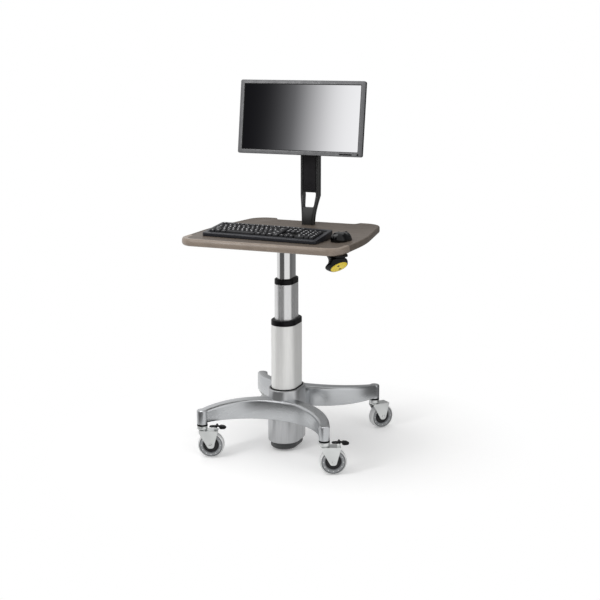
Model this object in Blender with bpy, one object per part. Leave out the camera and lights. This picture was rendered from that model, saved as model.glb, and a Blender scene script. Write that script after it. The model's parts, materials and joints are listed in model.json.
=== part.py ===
"""A mobile computer workstation cart with a telescoping column.

The cart stands on four casters under two crescent rails. An oval three-stage column carries the work
surface with its keyboard, mouse and release button, and a post with a tilting monitor.
Metres, +Z up, the front faces -Y. The origin lies on the floor under the middle of the cart's box.
"""
import math

import bmesh
import bpy
from mathutils import Matrix, Vector

# Clearances
SEAT_GAP = 0.0003
RUNNING_GAP = 0.0004
SMOOTH_ANGLE = math.radians(35)

# Finishes: colour, roughness, metallic
ALUMINIUM = ((0.60, 0.60, 0.59), 0.32, 1.0)
POLISHED = ((0.70, 0.70, 0.69), 0.18, 1.0)
ZINC = ((0.62, 0.64, 0.63), 0.40, 1.0)
STEEL = ((0.45, 0.45, 0.46), 0.35, 1.0)
BLACK = ((0.015, 0.015, 0.016), 0.45, 0.0)
DARK_GREY = ((0.06, 0.06, 0.065), 0.55, 0.0)
TREAD_GREY = ((0.42, 0.43, 0.43), 0.60, 0.0)
TAUPE = ((0.165, 0.130, 0.102), 0.48, 0.0)
YELLOW = ((0.83, 0.64, 0.03), 0.40, 0.0)
BEZEL_GREY = ((0.12, 0.12, 0.13), 0.45, 0.0)
SCREEN_GREY = ((0.30, 0.30, 0.31), 0.25, 0.0)

# Base: stems, rails, hub
BASE_SHIFT = 0.045
STEM_HALF_X = 0.2484
STEM_HALF_Y = 0.2827
RAIL_APEX = 0.109
RAIL_HALF_WIDTH_MIDDLE = 0.029
RAIL_HALF_WIDTH_END = 0.019
RAIL_HEIGHT_MIDDLE = 0.079
RAIL_HEIGHT_END = 0.049
RAIL_BOTTOM_MIDDLE = 0.130
RAIL_BOTTOM_END = 0.1375
RAIL_TOP_ROUND = 0.012
RAIL_BOTTOM_ROUND = 0.004
RAIL_STEPS = 20
BOSS_RADIUS = 0.0205
BOSS_HEIGHT = 0.056
BOSS_ROUND = 0.006
HUB_BOTTOM = 0.034
HUB_HEIGHT = 0.211
HUB_WALL = 0.0135
HUB_FLOOR = 0.012
HUB_CHAMFER = 0.006
CAP_INSET = 0.010
CAP_HEIGHT = 0.026
WEB_HALF_WIDTH = 0.044
WEB_CORNER = 0.010
WEB_BOTTOM = 0.140
WEB_HEIGHT = 0.056

# Casters: local X along the trail, local Y along the axle
BOSS_BOTTOM = 0.131
WHEEL_RADIUS = 0.050
TYRE_WIDTH = 0.030
TYRE_DEPTH = 0.0105
TYRE_ROUND = 0.006
TYRE_STEPS = 24
CORE_STEPS = 20
RIM_DEPTH = 0.006
RIM_HALF_WIDTH = 0.012
CORE_WEB_HALF = 0.007
CORE_HUB_RADIUS = 0.013
AXLE_RADIUS = 0.005
AXLE_HEAD_RADIUS = 0.0075
AXLE_HEAD_HEIGHT = 0.004
TRAIL = 0.033
FORK_PLATE = 0.003
FORK_SIDE_GAP = 0.003
FORK_NOSE = 0.012
FORK_TAIL = 0.028
FORK_FOOT_DEPTH = 0.0110
FORK_FOOT_HALF = 0.0100
FORK_CORNER = 0.002
CROWN_GAP = 0.0035
CROWN_THICKNESS = 0.004
HEAD_RADIUS = 0.0205
HEAD_NECK_RADIUS = 0.016
SEAL_THICKNESS = 0.0055
STEM_RADIUS = 0.0055
STEM_LENGTH = 0.035
RIVET_RADIUS = 0.008
RIVET_THICKNESS = 0.003
BRAKE_POST_LENGTH = 0.010
BRAKE_POST_WIDTH = 0.016
BRAKE_POST_TOP = 0.119
BRAKE_WIDTH = 0.030
BRAKE_THICKNESS = 0.0055
BRAKE_TAIL_REACH = 0.029
BRAKE_PEDAL_REACH = 0.0355
BRAKE_PEDAL_LENGTH = 0.026
BRAKE_PEDAL_DROP = 0.006
CASTERS = (
    ("fl", -1, -1, 20.0, True),
    ("fr", 1, -1, 26.0, True),
    ("rl", -1, 1, 35.0, False),
    ("rr", 1, 1, 50.0, False),
)

# Column: three oval tubes, each guided by the collar of the one outside it
OUTER_HALF_WIDTH = 0.049
OUTER_HALF_LENGTH = 0.075
TUBE_WALL = 0.003
MIDDLE_SIDE_SPACE = 0.0085
MIDDLE_END_SPACE = 0.0135
INNER_SIDE_SPACE = 0.006
INNER_END_SPACE = 0.0085
OVAL_STEPS = 12
OUTER_TUBE_SHOWN = 0.251
STAGE_SHOWN = 0.137
STAGE_TRAVEL = 0.100
STAGE_MARGIN = 0.010
COLLAR_HEIGHT = 0.020
COLLAR_ROUND = 0.003
COLLAR_SKIRT = 0.050
SPRING_RADIUS = 0.014
SPRING_FLOOR = 0.008
SPRING_ENGAGED = 0.050
ROD_RADIUS = 0.005
BRACKET_HALF_WIDTH = 0.090
BRACKET_HALF_LENGTH = 0.110
BRACKET_PLATE = 0.008
BRACKET_PLUG = 0.030

# Work surface: a board with bowed sides, round corners and a shallow recess at the back
SURFACE_FRONT = 0.2776
SURFACE_BACK = 0.332
SURFACE_FRONT_HALF = 0.3185
SURFACE_MIDDLE_HALF = 0.3224
SURFACE_BACK_HALF = 0.270
SURFACE_THICKNESS = 0.025
SURFACE_FRONT_CORNER = 0.058
SURFACE_SIDE_ROUND = 0.900
SURFACE_BACK_CORNER = 0.075
SURFACE_TOP_ROUND = 0.006
SURFACE_BOTTOM_ROUND = 0.008
RECESS_HALF = 0.165
RECESS_DEPTH = 0.032
RECESS_SLOPE = 0.014
RECESS_ROUND = 0.012
CORNER_STEPS = 6
EDGE_STEPS = 3

# Release: a black spool under the front right corner, its face leaning out, with a yellow button
RELEASE_FROM_SIDE = 0.0225
RELEASE_FROM_FRONT = 0.052
RELEASE_DROP = 0.0447
RELEASE_TURN = -34.0
RELEASE_LEAN = 41.0
RELEASE_FACE_RADIUS = 0.0335
RELEASE_LIP_RADIUS = 0.0385
RELEASE_LIP_SHARE = 0.4
RELEASE_BELL_RADIUS = 0.0413
RELEASE_BELL_BEHIND = 0.0139
RELEASE_BELL_SLIP = 0.006
RELEASE_WAIST_RADIUS = 0.0295
RELEASE_FLANGE_RADIUS = 0.0375
RELEASE_FLANGE_HEIGHT = 0.006
RELEASE_FLANGE_INWARD = 0.007
RELEASE_BUTTON_RADIUS = 0.0313
RELEASE_BUTTON_THICKNESS = 0.006
RELEASE_BUTTON_PROUD = 0.0015
RELEASE_TRAVEL = 0.004
RELEASE_STALK_RADIUS = 0.008
RELEASE_STALK_LENGTH = 0.012

# Keyboard
KEYBOARD_X = -0.029
KEYBOARD_Y = -0.1145
KEYBOARD_TURN = -3.0
KEYBOARD_WIDTH = 0.464
KEYBOARD_DEPTH = 0.163
KEYBOARD_FRONT_HEIGHT = 0.013
KEYBOARD_BACK_HEIGHT = 0.031
KEYBOARD_CORNER = 0.012
KEY_PITCH = 0.0190
KEY_GAP = 0.0024
KEY_HEIGHT = 0.0060
KEY_TRAVEL = 0.003
KEY_TAPER = 0.0012
KEY_PLATE = 0.0020
KEY_WELL = 0.0080
KEY_MARGIN = 0.003
KEY_ROW_GAP = 0.35
BAR_STEM_WIDTH = 0.020
BAR_STEM_DEPTH = 0.005
KEY_ROWS = (
    ((1, -1, 1, 1, 1, 1, -0.5, 1, 1, 1, 1, -0.5, 1, 1, 1, 1), (1, 1, 1), ()),
    ((1, 1, 1, 1, 1, 1, 1, 1, 1, 1, 1, 1, 1, 2), (1, 1, 1), (1, 1, 1, 1)),
    ((1.5, 1, 1, 1, 1, 1, 1, 1, 1, 1, 1, 1, 1, 1.5), (1, 1, 1), (1, 1, 1, 1)),
    ((1.75, 1, 1, 1, 1, 1, 1, 1, 1, 1, 1, 1, 2.25), (), (1, 1, 1, 1)),
    ((2.25, 1, 1, 1, 1, 1, 1, 1, 1, 1, 1, 2.75), (-1, 1, -1), (1, 1, 1, 1)),
    ((1.25, 1.25, 1.25, -6.25, 1.25, 1.25, 1.25, 1.25), (1, 1, 1), (2, 1, 1)),
)
KEY_BLOCK_STARTS = (0.0, 15.25, 18.5)
KEY_FIELD_UNITS = 22.5
BAR_ROW = 5
BAR_START_UNITS = 3.75
BAR_UNITS = 6.25

# Mouse
MOUSE_X = 0.2535
MOUSE_Y = -0.086
MOUSE_TURN = -9.0
MOUSE_HALF_WIDTH = 0.029
MOUSE_HALF_LENGTH = 0.054
MOUSE_HEIGHT = 0.034
MOUSE_STEPS = 28
MOUSE_RINGS = 8
MOUSE_SQUARENESS = 0.8
MOUSE_CROWN = 0.08
MOUSE_BULGE = 0.55
MOUSE_LEAN_BACK = 0.009
MOUSE_BUTTON_LENGTH = 0.046
MOUSE_BUTTON_DEPTH = 0.006
MOUSE_SPLIT = 0.0006
MOUSE_BUTTON_DROP = 0.0014
MOUSE_WHEEL_RADIUS = 0.011
MOUSE_WHEEL_WIDTH = 0.007
MOUSE_WHEEL_FORWARD = 0.034
MOUSE_WHEEL_HEIGHT = 0.019
MOUSE_SLOT_GAP = 0.0008

# Monitor post
POST_Y = 0.248
POST_HALF_WIDTH = 0.0395
POST_HALF_DEPTH = 0.015
POST_FOOT_Y = 0.2240
POST_FOOT_HALF_WIDTH = 0.0276
POST_FOOT_HALF_DEPTH = 0.0130
POST_SWEEP_HEIGHT = 0.1125
POST_SWEEP_STEPS = 8
POST_CORNER = 0.007
POST_FOOT_HEIGHT = 0.066
WINDOW_HALF_WIDTH_TOP = 0.0275
WINDOW_HALF_WIDTH_BOTTOM = 0.0225
WINDOW_HEIGHT = 0.060
WINDOW_CORNER = 0.004
POST_ABOVE_PIVOT = 0.042
PANEL_HALF_WIDTH = 0.028
PANEL_ABOVE_WINDOW = 0.008
PANEL_BELOW_PIVOT = 0.040
PANEL_POCKET = 0.004
PANEL_THICKNESS = 0.003
PANEL_RIBS = 4
PANEL_RIB_PITCH = 0.008
PANEL_RIB_HEIGHT = 0.0012

# Monitor: local frame on the tilt pin, the screen faces local -Y
PIVOT_ABOVE_SURFACE = 0.4133
PIVOT_BEFORE_POST = 0.0295
MONITOR_LEAN = 8.1
MONITOR_FRONT = 0.0663
MONITOR_WIDTH = 0.510
MONITOR_HEIGHT = 0.282
MONITOR_CORNER = 0.007
BEZEL_SIDE = 0.0155
BEZEL_TOP = 0.014
BEZEL_BOTTOM = 0.0155
BEZEL_DEPTH = 0.004
BEZEL_EDGE = 0.001
SCREEN_LIP = 0.003
SCREEN_THICKNESS = 0.008
MONITOR_EDGE_DEPTH = 0.016
MONITOR_BULGE_DEPTH = 0.046
MONITOR_BULGE_INSET = 0.055
MONITOR_WALL = 0.003
MOUNT_HALF = 0.055
MOUNT_PLATE = 0.004
KNUCKLE_RADIUS = 0.009
KNUCKLE_HALF_WIDTH = 0.018
EAR_RADIUS = 0.012
EAR_WIDTH = 0.008
PIN_RADIUS = 0.004
PIN_HEAD_RADIUS = 0.007
PIN_HEAD_HEIGHT = 0.003
BRACKET_BACK = 0.006
BRACKET_BACK_HALF_HEIGHT = 0.030
MENU_FROM_SIDE = 0.040
MENU_LENGTH = 0.050
MENU_HEIGHT = 0.004
POWER_FROM_SIDE = 0.016
POWER_RADIUS = 0.0035
BUTTON_PROUD = 0.0008
BUTTON_TRAVEL = 0.0008
BUTTON_BODY = 0.0020
PIN_STEPS = 12

# Values that follow from the ones above
HUB_TOP = HUB_BOTTOM + HUB_HEIGHT
HUB_FLOOR_TOP = HUB_BOTTOM + HUB_FLOOR
HUB_HALF_WIDTH = OUTER_HALF_WIDTH + SEAT_GAP + HUB_WALL
HUB_HALF_LENGTH = OUTER_HALF_LENGTH + SEAT_GAP + HUB_WALL
OUTER_TOP = HUB_TOP + OUTER_TUBE_SHOWN
MIDDLE_HALF_WIDTH = OUTER_HALF_WIDTH - TUBE_WALL - MIDDLE_SIDE_SPACE
MIDDLE_HALF_LENGTH = OUTER_HALF_LENGTH - TUBE_WALL - MIDDLE_END_SPACE
INNER_HALF_WIDTH = MIDDLE_HALF_WIDTH - TUBE_WALL - INNER_SIDE_SPACE
INNER_HALF_LENGTH = MIDDLE_HALF_LENGTH - TUBE_WALL - INNER_END_SPACE
MIDDLE_TOP = OUTER_TOP + SEAT_GAP + COLLAR_HEIGHT + STAGE_SHOWN
INNER_TOP = MIDDLE_TOP + SEAT_GAP + COLLAR_HEIGHT + STAGE_SHOWN
MIDDLE_FOOT = HUB_FLOOR_TOP + STAGE_MARGIN + STAGE_TRAVEL
INNER_FOOT = HUB_FLOOR_TOP + STAGE_MARGIN + 2 * STAGE_TRAVEL
ROD_FOOT = HUB_FLOOR_TOP + SEAT_GAP + SPRING_FLOOR + STAGE_MARGIN + 2 * STAGE_TRAVEL
SPRING_TOP = ROD_FOOT + 2 * STAGE_TRAVEL + SPRING_ENGAGED
BRACKET_BOTTOM = INNER_TOP + SEAT_GAP
SURFACE_BOTTOM = BRACKET_BOTTOM + BRACKET_PLATE + SEAT_GAP
SURFACE_TOP = SURFACE_BOTTOM + SURFACE_THICKNESS
CROWN_BOTTOM = 2 * WHEEL_RADIUS + CROWN_GAP
CROWN_TOP = CROWN_BOTTOM + CROWN_THICKNESS
HEAD_TOP = BOSS_BOTTOM - SEAT_GAP - SEAL_THICKNESS - RUNNING_GAP
FORK_INSIDE = TYRE_WIDTH / 2 + FORK_SIDE_GAP
FORK_OUTSIDE = FORK_INSIDE + FORK_PLATE
POST_FRONT = POST_Y - POST_HALF_DEPTH
PIVOT_Y = POST_FRONT - PIVOT_BEFORE_POST
PIVOT_Z = SURFACE_TOP + PIVOT_ABOVE_SURFACE
POST_BOTTOM = SURFACE_TOP + SEAT_GAP
WINDOW_BOTTOM = POST_BOTTOM + POST_FOOT_HEIGHT
WINDOW_TOP = WINDOW_BOTTOM + WINDOW_HEIGHT


def clear_scene():
    """Start from an empty scene."""
    for item in list(bpy.data.objects):
        bpy.data.objects.remove(item, do_unlink=True)


def paint(name, finish):
    """Give a piece its own Principled material."""
    colour, roughness, metallic = finish
    made = bpy.data.materials.new(name + "_finish")
    made.use_nodes = True
    shader = made.node_tree.nodes["Principled BSDF"]
    shader.inputs["Base Color"].default_value = (*colour, 1.0)
    shader.inputs["Roughness"].default_value = roughness
    shader.inputs["Metallic"].default_value = metallic
    made.diffuse_color = (*colour, 1.0)
    return made


def empty(name, parent, place=(0, 0, 0), turn=(0, 0, 0)):
    """An empty that carries pieces; turn is in degrees about X, Y and Z."""
    carrier = bpy.data.objects.new(name, None)
    bpy.context.collection.objects.link(carrier)
    carrier.parent = parent
    carrier.location = place
    carrier.rotation_euler = [math.radians(a) for a in turn]
    return carrier


def place_mesh(name, shape, parent):
    """Turn a bmesh into an object under its parent."""
    bmesh.ops.recalc_face_normals(shape, faces=shape.faces)
    mesh = bpy.data.meshes.new(name)
    shape.to_mesh(mesh)
    shape.free()
    mesh.shade_smooth()
    mesh.set_sharp_from_angle(angle=SMOOTH_ANGLE)
    placed = bpy.data.objects.new(name, mesh)
    bpy.context.collection.objects.link(placed)
    placed.parent = parent
    return placed


def node(name, shape, finish, parent):
    """A piece of the cart."""
    piece = place_mesh(name, shape, parent)
    piece.data.materials.append(paint(name, finish))
    return piece


def cutter(name, shape, parent):
    """A shape that only cuts or joins, left out of the model."""
    tool = place_mesh(name, shape, parent)
    tool.hide_render = True
    tool.display_type = "WIRE"
    return tool


def boolean(piece, tool, operation):
    """Cut, join or intersect a piece with a cutter."""
    change = piece.modifiers.new(tool.name, "BOOLEAN")
    change.operation = operation
    change.solver = "EXACT"
    change.object = tool


def at(outline, height):
    """Lift a flat outline to a height."""
    return [Vector((x, y, height)) for x, y in outline]


def loft(loops, ring=False):
    """Skin loops of equal length; a ring closes on itself and other lofts are capped."""
    shape = bmesh.new()
    rows = [[shape.verts.new(point) for point in loop] for loop in loops]
    spans = len(rows) if ring else len(rows) - 1
    for i in range(spans):
        low = rows[i]
        high = rows[(i + 1) % len(rows)]
        for j in range(len(low)):
            k = (j + 1) % len(low)
            shape.faces.new((low[j], low[k], high[k], high[j]))
    if not ring:
        shape.faces.new(rows[0][::-1])
        shape.faces.new(rows[-1])
    return shape


def slab(outline, low, high):
    """A flat outline extruded between two heights."""
    return loft([at(outline, low), at(outline, high)])


def block(low, high):
    """A box between two corners."""
    outline = [(low[0], low[1]), (high[0], low[1]), (high[0], high[1]), (low[0], high[1])]
    return slab(outline, low[2], high[2])


def circle(radius, steps, phase=0.0):
    """Points of a circle, counter-clockwise."""
    angles = [2 * math.pi * (k + phase) / steps for k in range(steps)]
    return [(radius * math.cos(a), radius * math.sin(a)) for a in angles]


def turned(profile, steps, phase=0.0, ring=False):
    """A solid of revolution about Z from (radius, height) points."""
    return loft([at(circle(radius, steps, phase), height) for radius, height in profile], ring)


def obround(half_width, half_length, steps=OVAL_STEPS):
    """An oval with straight sides along Y and a half circle at each end."""
    straight = half_length - half_width
    points = []
    for side in (1, -1):
        for k in range(steps + 1):
            angle = math.pi * k / steps
            across = side * half_width * math.cos(angle)
            points.append((across, side * (straight + half_width * math.sin(angle))))
    return points


def rounded(corners, radii, steps=CORNER_STEPS, inset=0.0):
    """A counter-clockwise polygon with round corners, moved in by an inset."""
    points = [Vector(corner) for corner in corners]
    count = len(points)
    ways = [(points[(i + 1) % count] - points[i]).normalized() for i in range(count)]
    outline = []
    for i in range(count):
        before = ways[i - 1]
        after = ways[i]
        turn = math.atan2(before.cross(after), before.dot(after))
        side = 1 if turn > 0 else -1
        left_before = Vector((-before.y, before.x))
        left_after = Vector((-after.y, after.x))
        mitre = (left_before + left_after) / (1 + left_before.dot(left_after))
        radius = radii[i] - side * inset
        centre = points[i] + mitre * (inset + side * radius)
        for k in range(steps + 1):
            swung = left_before.copy()
            swung.rotate(Matrix.Rotation(turn * k / steps, 2))
            outline.append(tuple(centre - swung * side * radius))
    return outline


def rectangle(half_width, half_depth, corner, steps=CORNER_STEPS):
    """A rectangle with round corners about the origin."""
    signs = ((-1, -1), (1, -1), (1, 1), (-1, 1))
    corners = [(x * half_width, y * half_depth) for x, y in signs]
    return rounded(corners, [corner] * 4, steps)


def tube(half_width, half_length, wall, low, high):
    """An oval tube."""
    outside = obround(half_width, half_length)
    inside = obround(half_width - wall, half_length - wall)
    return loft([at(outside, low), at(outside, high), at(inside, high), at(inside, low)], ring=True)


def turned_x(profile, steps, phase=0.0, ring=False):
    """A solid of revolution about X."""
    shape = turned(profile, steps, phase, ring)
    shape.transform(Matrix.Rotation(math.radians(90), 4, "Y"))
    return shape


def turned_y(profile, steps, phase=0.0, ring=False):
    """A solid of revolution about Y."""
    shape = turned(profile, steps, phase, ring)
    shape.transform(Matrix.Rotation(math.radians(-90), 4, "X"))
    return shape


def rail_arc():
    """Radius, half angle and distance of the centre of a rail's middle line from the base's middle."""
    rise = STEM_HALF_Y - RAIL_APEX
    radius = (STEM_HALF_X ** 2 + rise ** 2) / (2 * rise)
    return radius, math.asin(STEM_HALF_X / radius), RAIL_APEX + radius


def rail_section(half_width, bottom, top, grow):
    """Half of a rail's section from the bottom to the top, as (across, height) pairs walked round."""
    low = bottom - grow
    high = top + grow
    wide = half_width + grow
    corners = ((-wide, low), (wide, low), (wide, high), (-wide, high))
    radii = (RAIL_BOTTOM_ROUND, RAIL_BOTTOM_ROUND, RAIL_TOP_ROUND, RAIL_TOP_ROUND)
    return rounded(corners, radii, EDGE_STEPS)


def rail_shape(grow):
    """A crescent rail in the base's frame, opening toward -Y, thicker and taller in its middle."""
    radius, half_angle, reach = rail_arc()
    loops = []
    for k in range(RAIL_STEPS + 1):
        share = 2 * k / RAIL_STEPS - 1
        swell = 1 - share * share
        half_width = RAIL_HALF_WIDTH_END + (RAIL_HALF_WIDTH_MIDDLE - RAIL_HALF_WIDTH_END) * swell
        bottom = RAIL_BOTTOM_END + (RAIL_BOTTOM_MIDDLE - RAIL_BOTTOM_END) * swell
        height = RAIL_HEIGHT_END + (RAIL_HEIGHT_MIDDLE - RAIL_HEIGHT_END) * swell
        angle = share * half_angle
        loop = []
        for across, z in rail_section(half_width, bottom, bottom + height, grow):
            far = radius + across
            loop.append(Vector((far * math.sin(angle), far * math.cos(angle) - reach, z)))
        loops.append(loop)
    return loft(loops)


def boss_shape():
    """A stem boss with a round top edge."""
    top = BOSS_BOTTOM + BOSS_HEIGHT
    profile = [(BOSS_RADIUS, BOSS_BOTTOM)]
    for k in range(EDGE_STEPS + 1):
        angle = math.pi / 2 * k / EDGE_STEPS
        out = BOSS_RADIUS - BOSS_ROUND + BOSS_ROUND * math.cos(angle)
        profile.append((out, top - BOSS_ROUND + BOSS_ROUND * math.sin(angle)))
    return turned(profile, CORE_STEPS)


def hub_cutter(name, parent):
    """The hub's outside with a seat gap, for what nests round it."""
    outline = obround(HUB_HALF_WIDTH + SEAT_GAP, HUB_HALF_LENGTH + SEAT_GAP)
    return cutter(name, slab(outline, HUB_BOTTOM - HUB_FLOOR, HUB_TOP + HUB_FLOOR), parent)


def build_rail(name, way, base, column):
    """A rail with two bosses bored for the stems; way is -1 for the front and 1 for the back."""
    shape = rail_shape(0.0)
    if way > 0:
        shape.transform(Matrix.Rotation(math.pi, 4, "Z"))
    rail = node(name, shape, ALUMINIUM, base)
    for side in (-1, 1):
        place = Vector((side * STEM_HALF_X, way * STEM_HALF_Y, 0))
        label = "left" if side < 0 else "right"
        boss = cutter(f"{name}_{label}_boss", boss_shape(), base)
        boss.location = place
        boolean(rail, boss, "UNION")
        bore_radius = STEM_RADIUS + SEAT_GAP
        bore_end = BOSS_BOTTOM + STEM_LENGTH + SEAT_GAP
        bore_profile = [(bore_radius, BOSS_BOTTOM - STEM_RADIUS), (bore_radius, bore_end)]
        bore = cutter(f"{name}_{label}_bore", turned(bore_profile, PIN_STEPS), base)
        bore.location = place
        boolean(rail, bore, "DIFFERENCE")
    boolean(rail, hub_cutter(name + "_socket", column), "DIFFERENCE")


def build_hub(base, column):
    """The oval sleeve round the column's foot, its bottom cap and the web to the rear rail."""
    outside = obround(HUB_HALF_WIDTH, HUB_HALF_LENGTH)
    chamfered = obround(HUB_HALF_WIDTH - HUB_CHAMFER, HUB_HALF_LENGTH - HUB_CHAMFER)
    rim_out = obround(HUB_HALF_WIDTH - HUB_CHAMFER / 2, HUB_HALF_LENGTH - HUB_CHAMFER / 2)
    bore = obround(OUTER_HALF_WIDTH + SEAT_GAP, OUTER_HALF_LENGTH + SEAT_GAP)
    loops = [
        at(chamfered, HUB_BOTTOM),
        at(outside, HUB_BOTTOM + HUB_CHAMFER),
        at(outside, HUB_TOP - HUB_CHAMFER / 2),
        at(rim_out, HUB_TOP),
        at(bore, HUB_TOP),
        at(bore, HUB_FLOOR_TOP),
    ]
    node("base_hub", loft(loops), ALUMINIUM, column)

    cap_top = HUB_BOTTOM - SEAT_GAP
    full = obround(HUB_HALF_WIDTH - CAP_INSET, HUB_HALF_LENGTH - CAP_INSET)
    drawn_in = obround(HUB_HALF_WIDTH - 2 * CAP_INSET, HUB_HALF_LENGTH - 2 * CAP_INSET)
    cap_low = cap_top - CAP_HEIGHT
    cap_loops = [at(drawn_in, cap_low), at(full, cap_low + CAP_INSET), at(full, cap_top)]
    node("hub_bottom_cap", loft(cap_loops), DARK_GREY, column)

    wide = WEB_HALF_WIDTH
    corners = ((-wide, 0), (wide, 0), (wide, RAIL_APEX), (-wide, RAIL_APEX))
    outline = rounded(corners, [WEB_CORNER] * 4)
    web = node("hub_web", slab(outline, WEB_BOTTOM, WEB_BOTTOM + WEB_HEIGHT), ALUMINIUM, base)
    envelope = rail_shape(SEAT_GAP)
    envelope.transform(Matrix.Rotation(math.pi, 4, "Z"))
    boolean(web, cutter("web_rear_trim", envelope, base), "DIFFERENCE")
    boolean(web, hub_cutter("web_socket", column), "DIFFERENCE")


def fork_outline():
    """Side view of a fork, as (along the trail, height) points."""
    foot = WHEEL_RADIUS - FORK_FOOT_DEPTH
    corners = [
        (TRAIL - FORK_FOOT_HALF, foot),
        (TRAIL + FORK_FOOT_HALF, foot),
        (TRAIL + FORK_TAIL, CROWN_TOP),
        (-FORK_NOSE, CROWN_TOP),
        (-FORK_NOSE, CROWN_BOTTOM - CROWN_THICKNESS),
    ]
    radii = [FORK_FOOT_HALF, FORK_FOOT_HALF, FORK_CORNER, FORK_CORNER, FORK_CORNER]
    return rounded(corners, radii, EDGE_STEPS)


def sideways(outline, low, high):
    """An outline of (along, height) points extruded along Y."""
    loops = [[Vector((x, y, z)) for x, z in outline] for y in (low, high)]
    return loft(loops)


def build_fork(name, swivel, braked):
    """The swivelling fork: two plates under a crown with a domed head, bored for pin and axle."""
    fork = node(name + "_fork", sideways(fork_outline(), -FORK_OUTSIDE, FORK_OUTSIDE), ZINC, swivel)
    far = TRAIL + WHEEL_RADIUS
    slot = block((-far, -FORK_INSIDE, 0), (far, FORK_INSIDE, CROWN_BOTTOM))
    boolean(fork, cutter(name + "_slot", slot, swivel), "DIFFERENCE")
    head_profile = [
        (HEAD_NECK_RADIUS, CROWN_BOTTOM + CROWN_THICKNESS / 2),
        (HEAD_NECK_RADIUS, CROWN_TOP + CROWN_THICKNESS / 2),
        (HEAD_RADIUS, CROWN_TOP + 2 * CROWN_THICKNESS),
        (HEAD_RADIUS, HEAD_TOP - CROWN_THICKNESS / 2),
        (HEAD_RADIUS - CROWN_THICKNESS / 2, HEAD_TOP),
    ]
    boolean(fork, cutter(name + "_head", turned(head_profile, CORE_STEPS), swivel), "UNION")
    if braked:
        tail = TRAIL + FORK_TAIL - BRAKE_POST_LENGTH / 2
        half = BRAKE_POST_WIDTH / 2
        low = (tail - BRAKE_POST_LENGTH, -half, CROWN_BOTTOM + CROWN_THICKNESS / 2)
        post = cutter(name + "_brake_post", block(low, (tail, half, BRAKE_POST_TOP)), swivel)
        boolean(fork, post, "UNION")
    pin_radius = STEM_RADIUS + RUNNING_GAP
    hole = [(pin_radius, CROWN_BOTTOM - CROWN_THICKNESS), (pin_radius, HEAD_TOP + CROWN_THICKNESS)]
    boolean(fork, cutter(name + "_pin_hole", turned(hole, PIN_STEPS), swivel), "DIFFERENCE")
    reach = FORK_OUTSIDE + FORK_PLATE
    across = turned_y([(AXLE_RADIUS + SEAT_GAP, -reach), (AXLE_RADIUS + SEAT_GAP, reach)], PIN_STEPS)
    axle_hole = cutter(name + "_axle_hole", across, swivel)
    axle_hole.location = (TRAIL, 0, WHEEL_RADIUS)
    boolean(fork, axle_hole, "DIFFERENCE")


def build_wheel(name, wheel):
    """A grey core in a lighter tread, about local Y."""
    bore = AXLE_RADIUS + RUNNING_GAP
    rim = WHEEL_RADIUS - TYRE_DEPTH - SEAT_GAP
    rim_inside = rim - RIM_DEPTH
    core_profile = [
        (bore, -RIM_HALF_WIDTH),
        (CORE_HUB_RADIUS, -RIM_HALF_WIDTH),
        (CORE_HUB_RADIUS, -CORE_WEB_HALF),
        (rim_inside, -CORE_WEB_HALF),
        (rim_inside, -RIM_HALF_WIDTH),
        (rim, -RIM_HALF_WIDTH),
        (rim, RIM_HALF_WIDTH),
        (rim_inside, RIM_HALF_WIDTH),
        (rim_inside, CORE_WEB_HALF),
        (CORE_HUB_RADIUS, CORE_WEB_HALF),
        (CORE_HUB_RADIUS, RIM_HALF_WIDTH),
        (bore, RIM_HALF_WIDTH),
    ]
    node(name + "_core", turned_y(core_profile, TYRE_STEPS, 0.5, ring=True), DARK_GREY, wheel)
    flat = 1 / math.cos(math.pi / TYRE_STEPS)
    tread = WHEEL_RADIUS * flat
    shoulder = (WHEEL_RADIUS - TYRE_ROUND) * flat
    inside = WHEEL_RADIUS - TYRE_DEPTH
    half = TYRE_WIDTH / 2
    middle = half - TYRE_ROUND
    tyre_profile = [
        (inside, -half),
        (shoulder, -half),
        (tread, -middle),
        (tread, middle),
        (shoulder, half),
        (inside, half),
    ]
    node(name + "_tyre", turned_y(tyre_profile, TYRE_STEPS, 0.5, ring=True), TREAD_GREY, wheel)


def build_brake(name, swivel):
    """A brake pedal that rocks on the edge of the fork's post."""
    edge = TRAIL + FORK_TAIL - BRAKE_POST_LENGTH / 2
    hinge = empty(name + "_brake_hinge", swivel, (edge, 0, BRAKE_POST_TOP + SEAT_GAP))
    pedal_end = BRAKE_PEDAL_REACH
    pedal_start = pedal_end - BRAKE_PEDAL_LENGTH
    outline = [
        (-BRAKE_TAIL_REACH, 0),
        (pedal_start, 0),
        (pedal_start, -BRAKE_PEDAL_DROP),
        (pedal_end, -BRAKE_PEDAL_DROP),
        (pedal_end, BRAKE_THICKNESS - BRAKE_PEDAL_DROP / 2),
        (pedal_start, BRAKE_THICKNESS),
        (-BRAKE_TAIL_REACH, BRAKE_THICKNESS),
    ]
    half = BRAKE_WIDTH / 2
    node(name + "_brake", sideways(outline, -half, half), BLACK, hinge)


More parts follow.
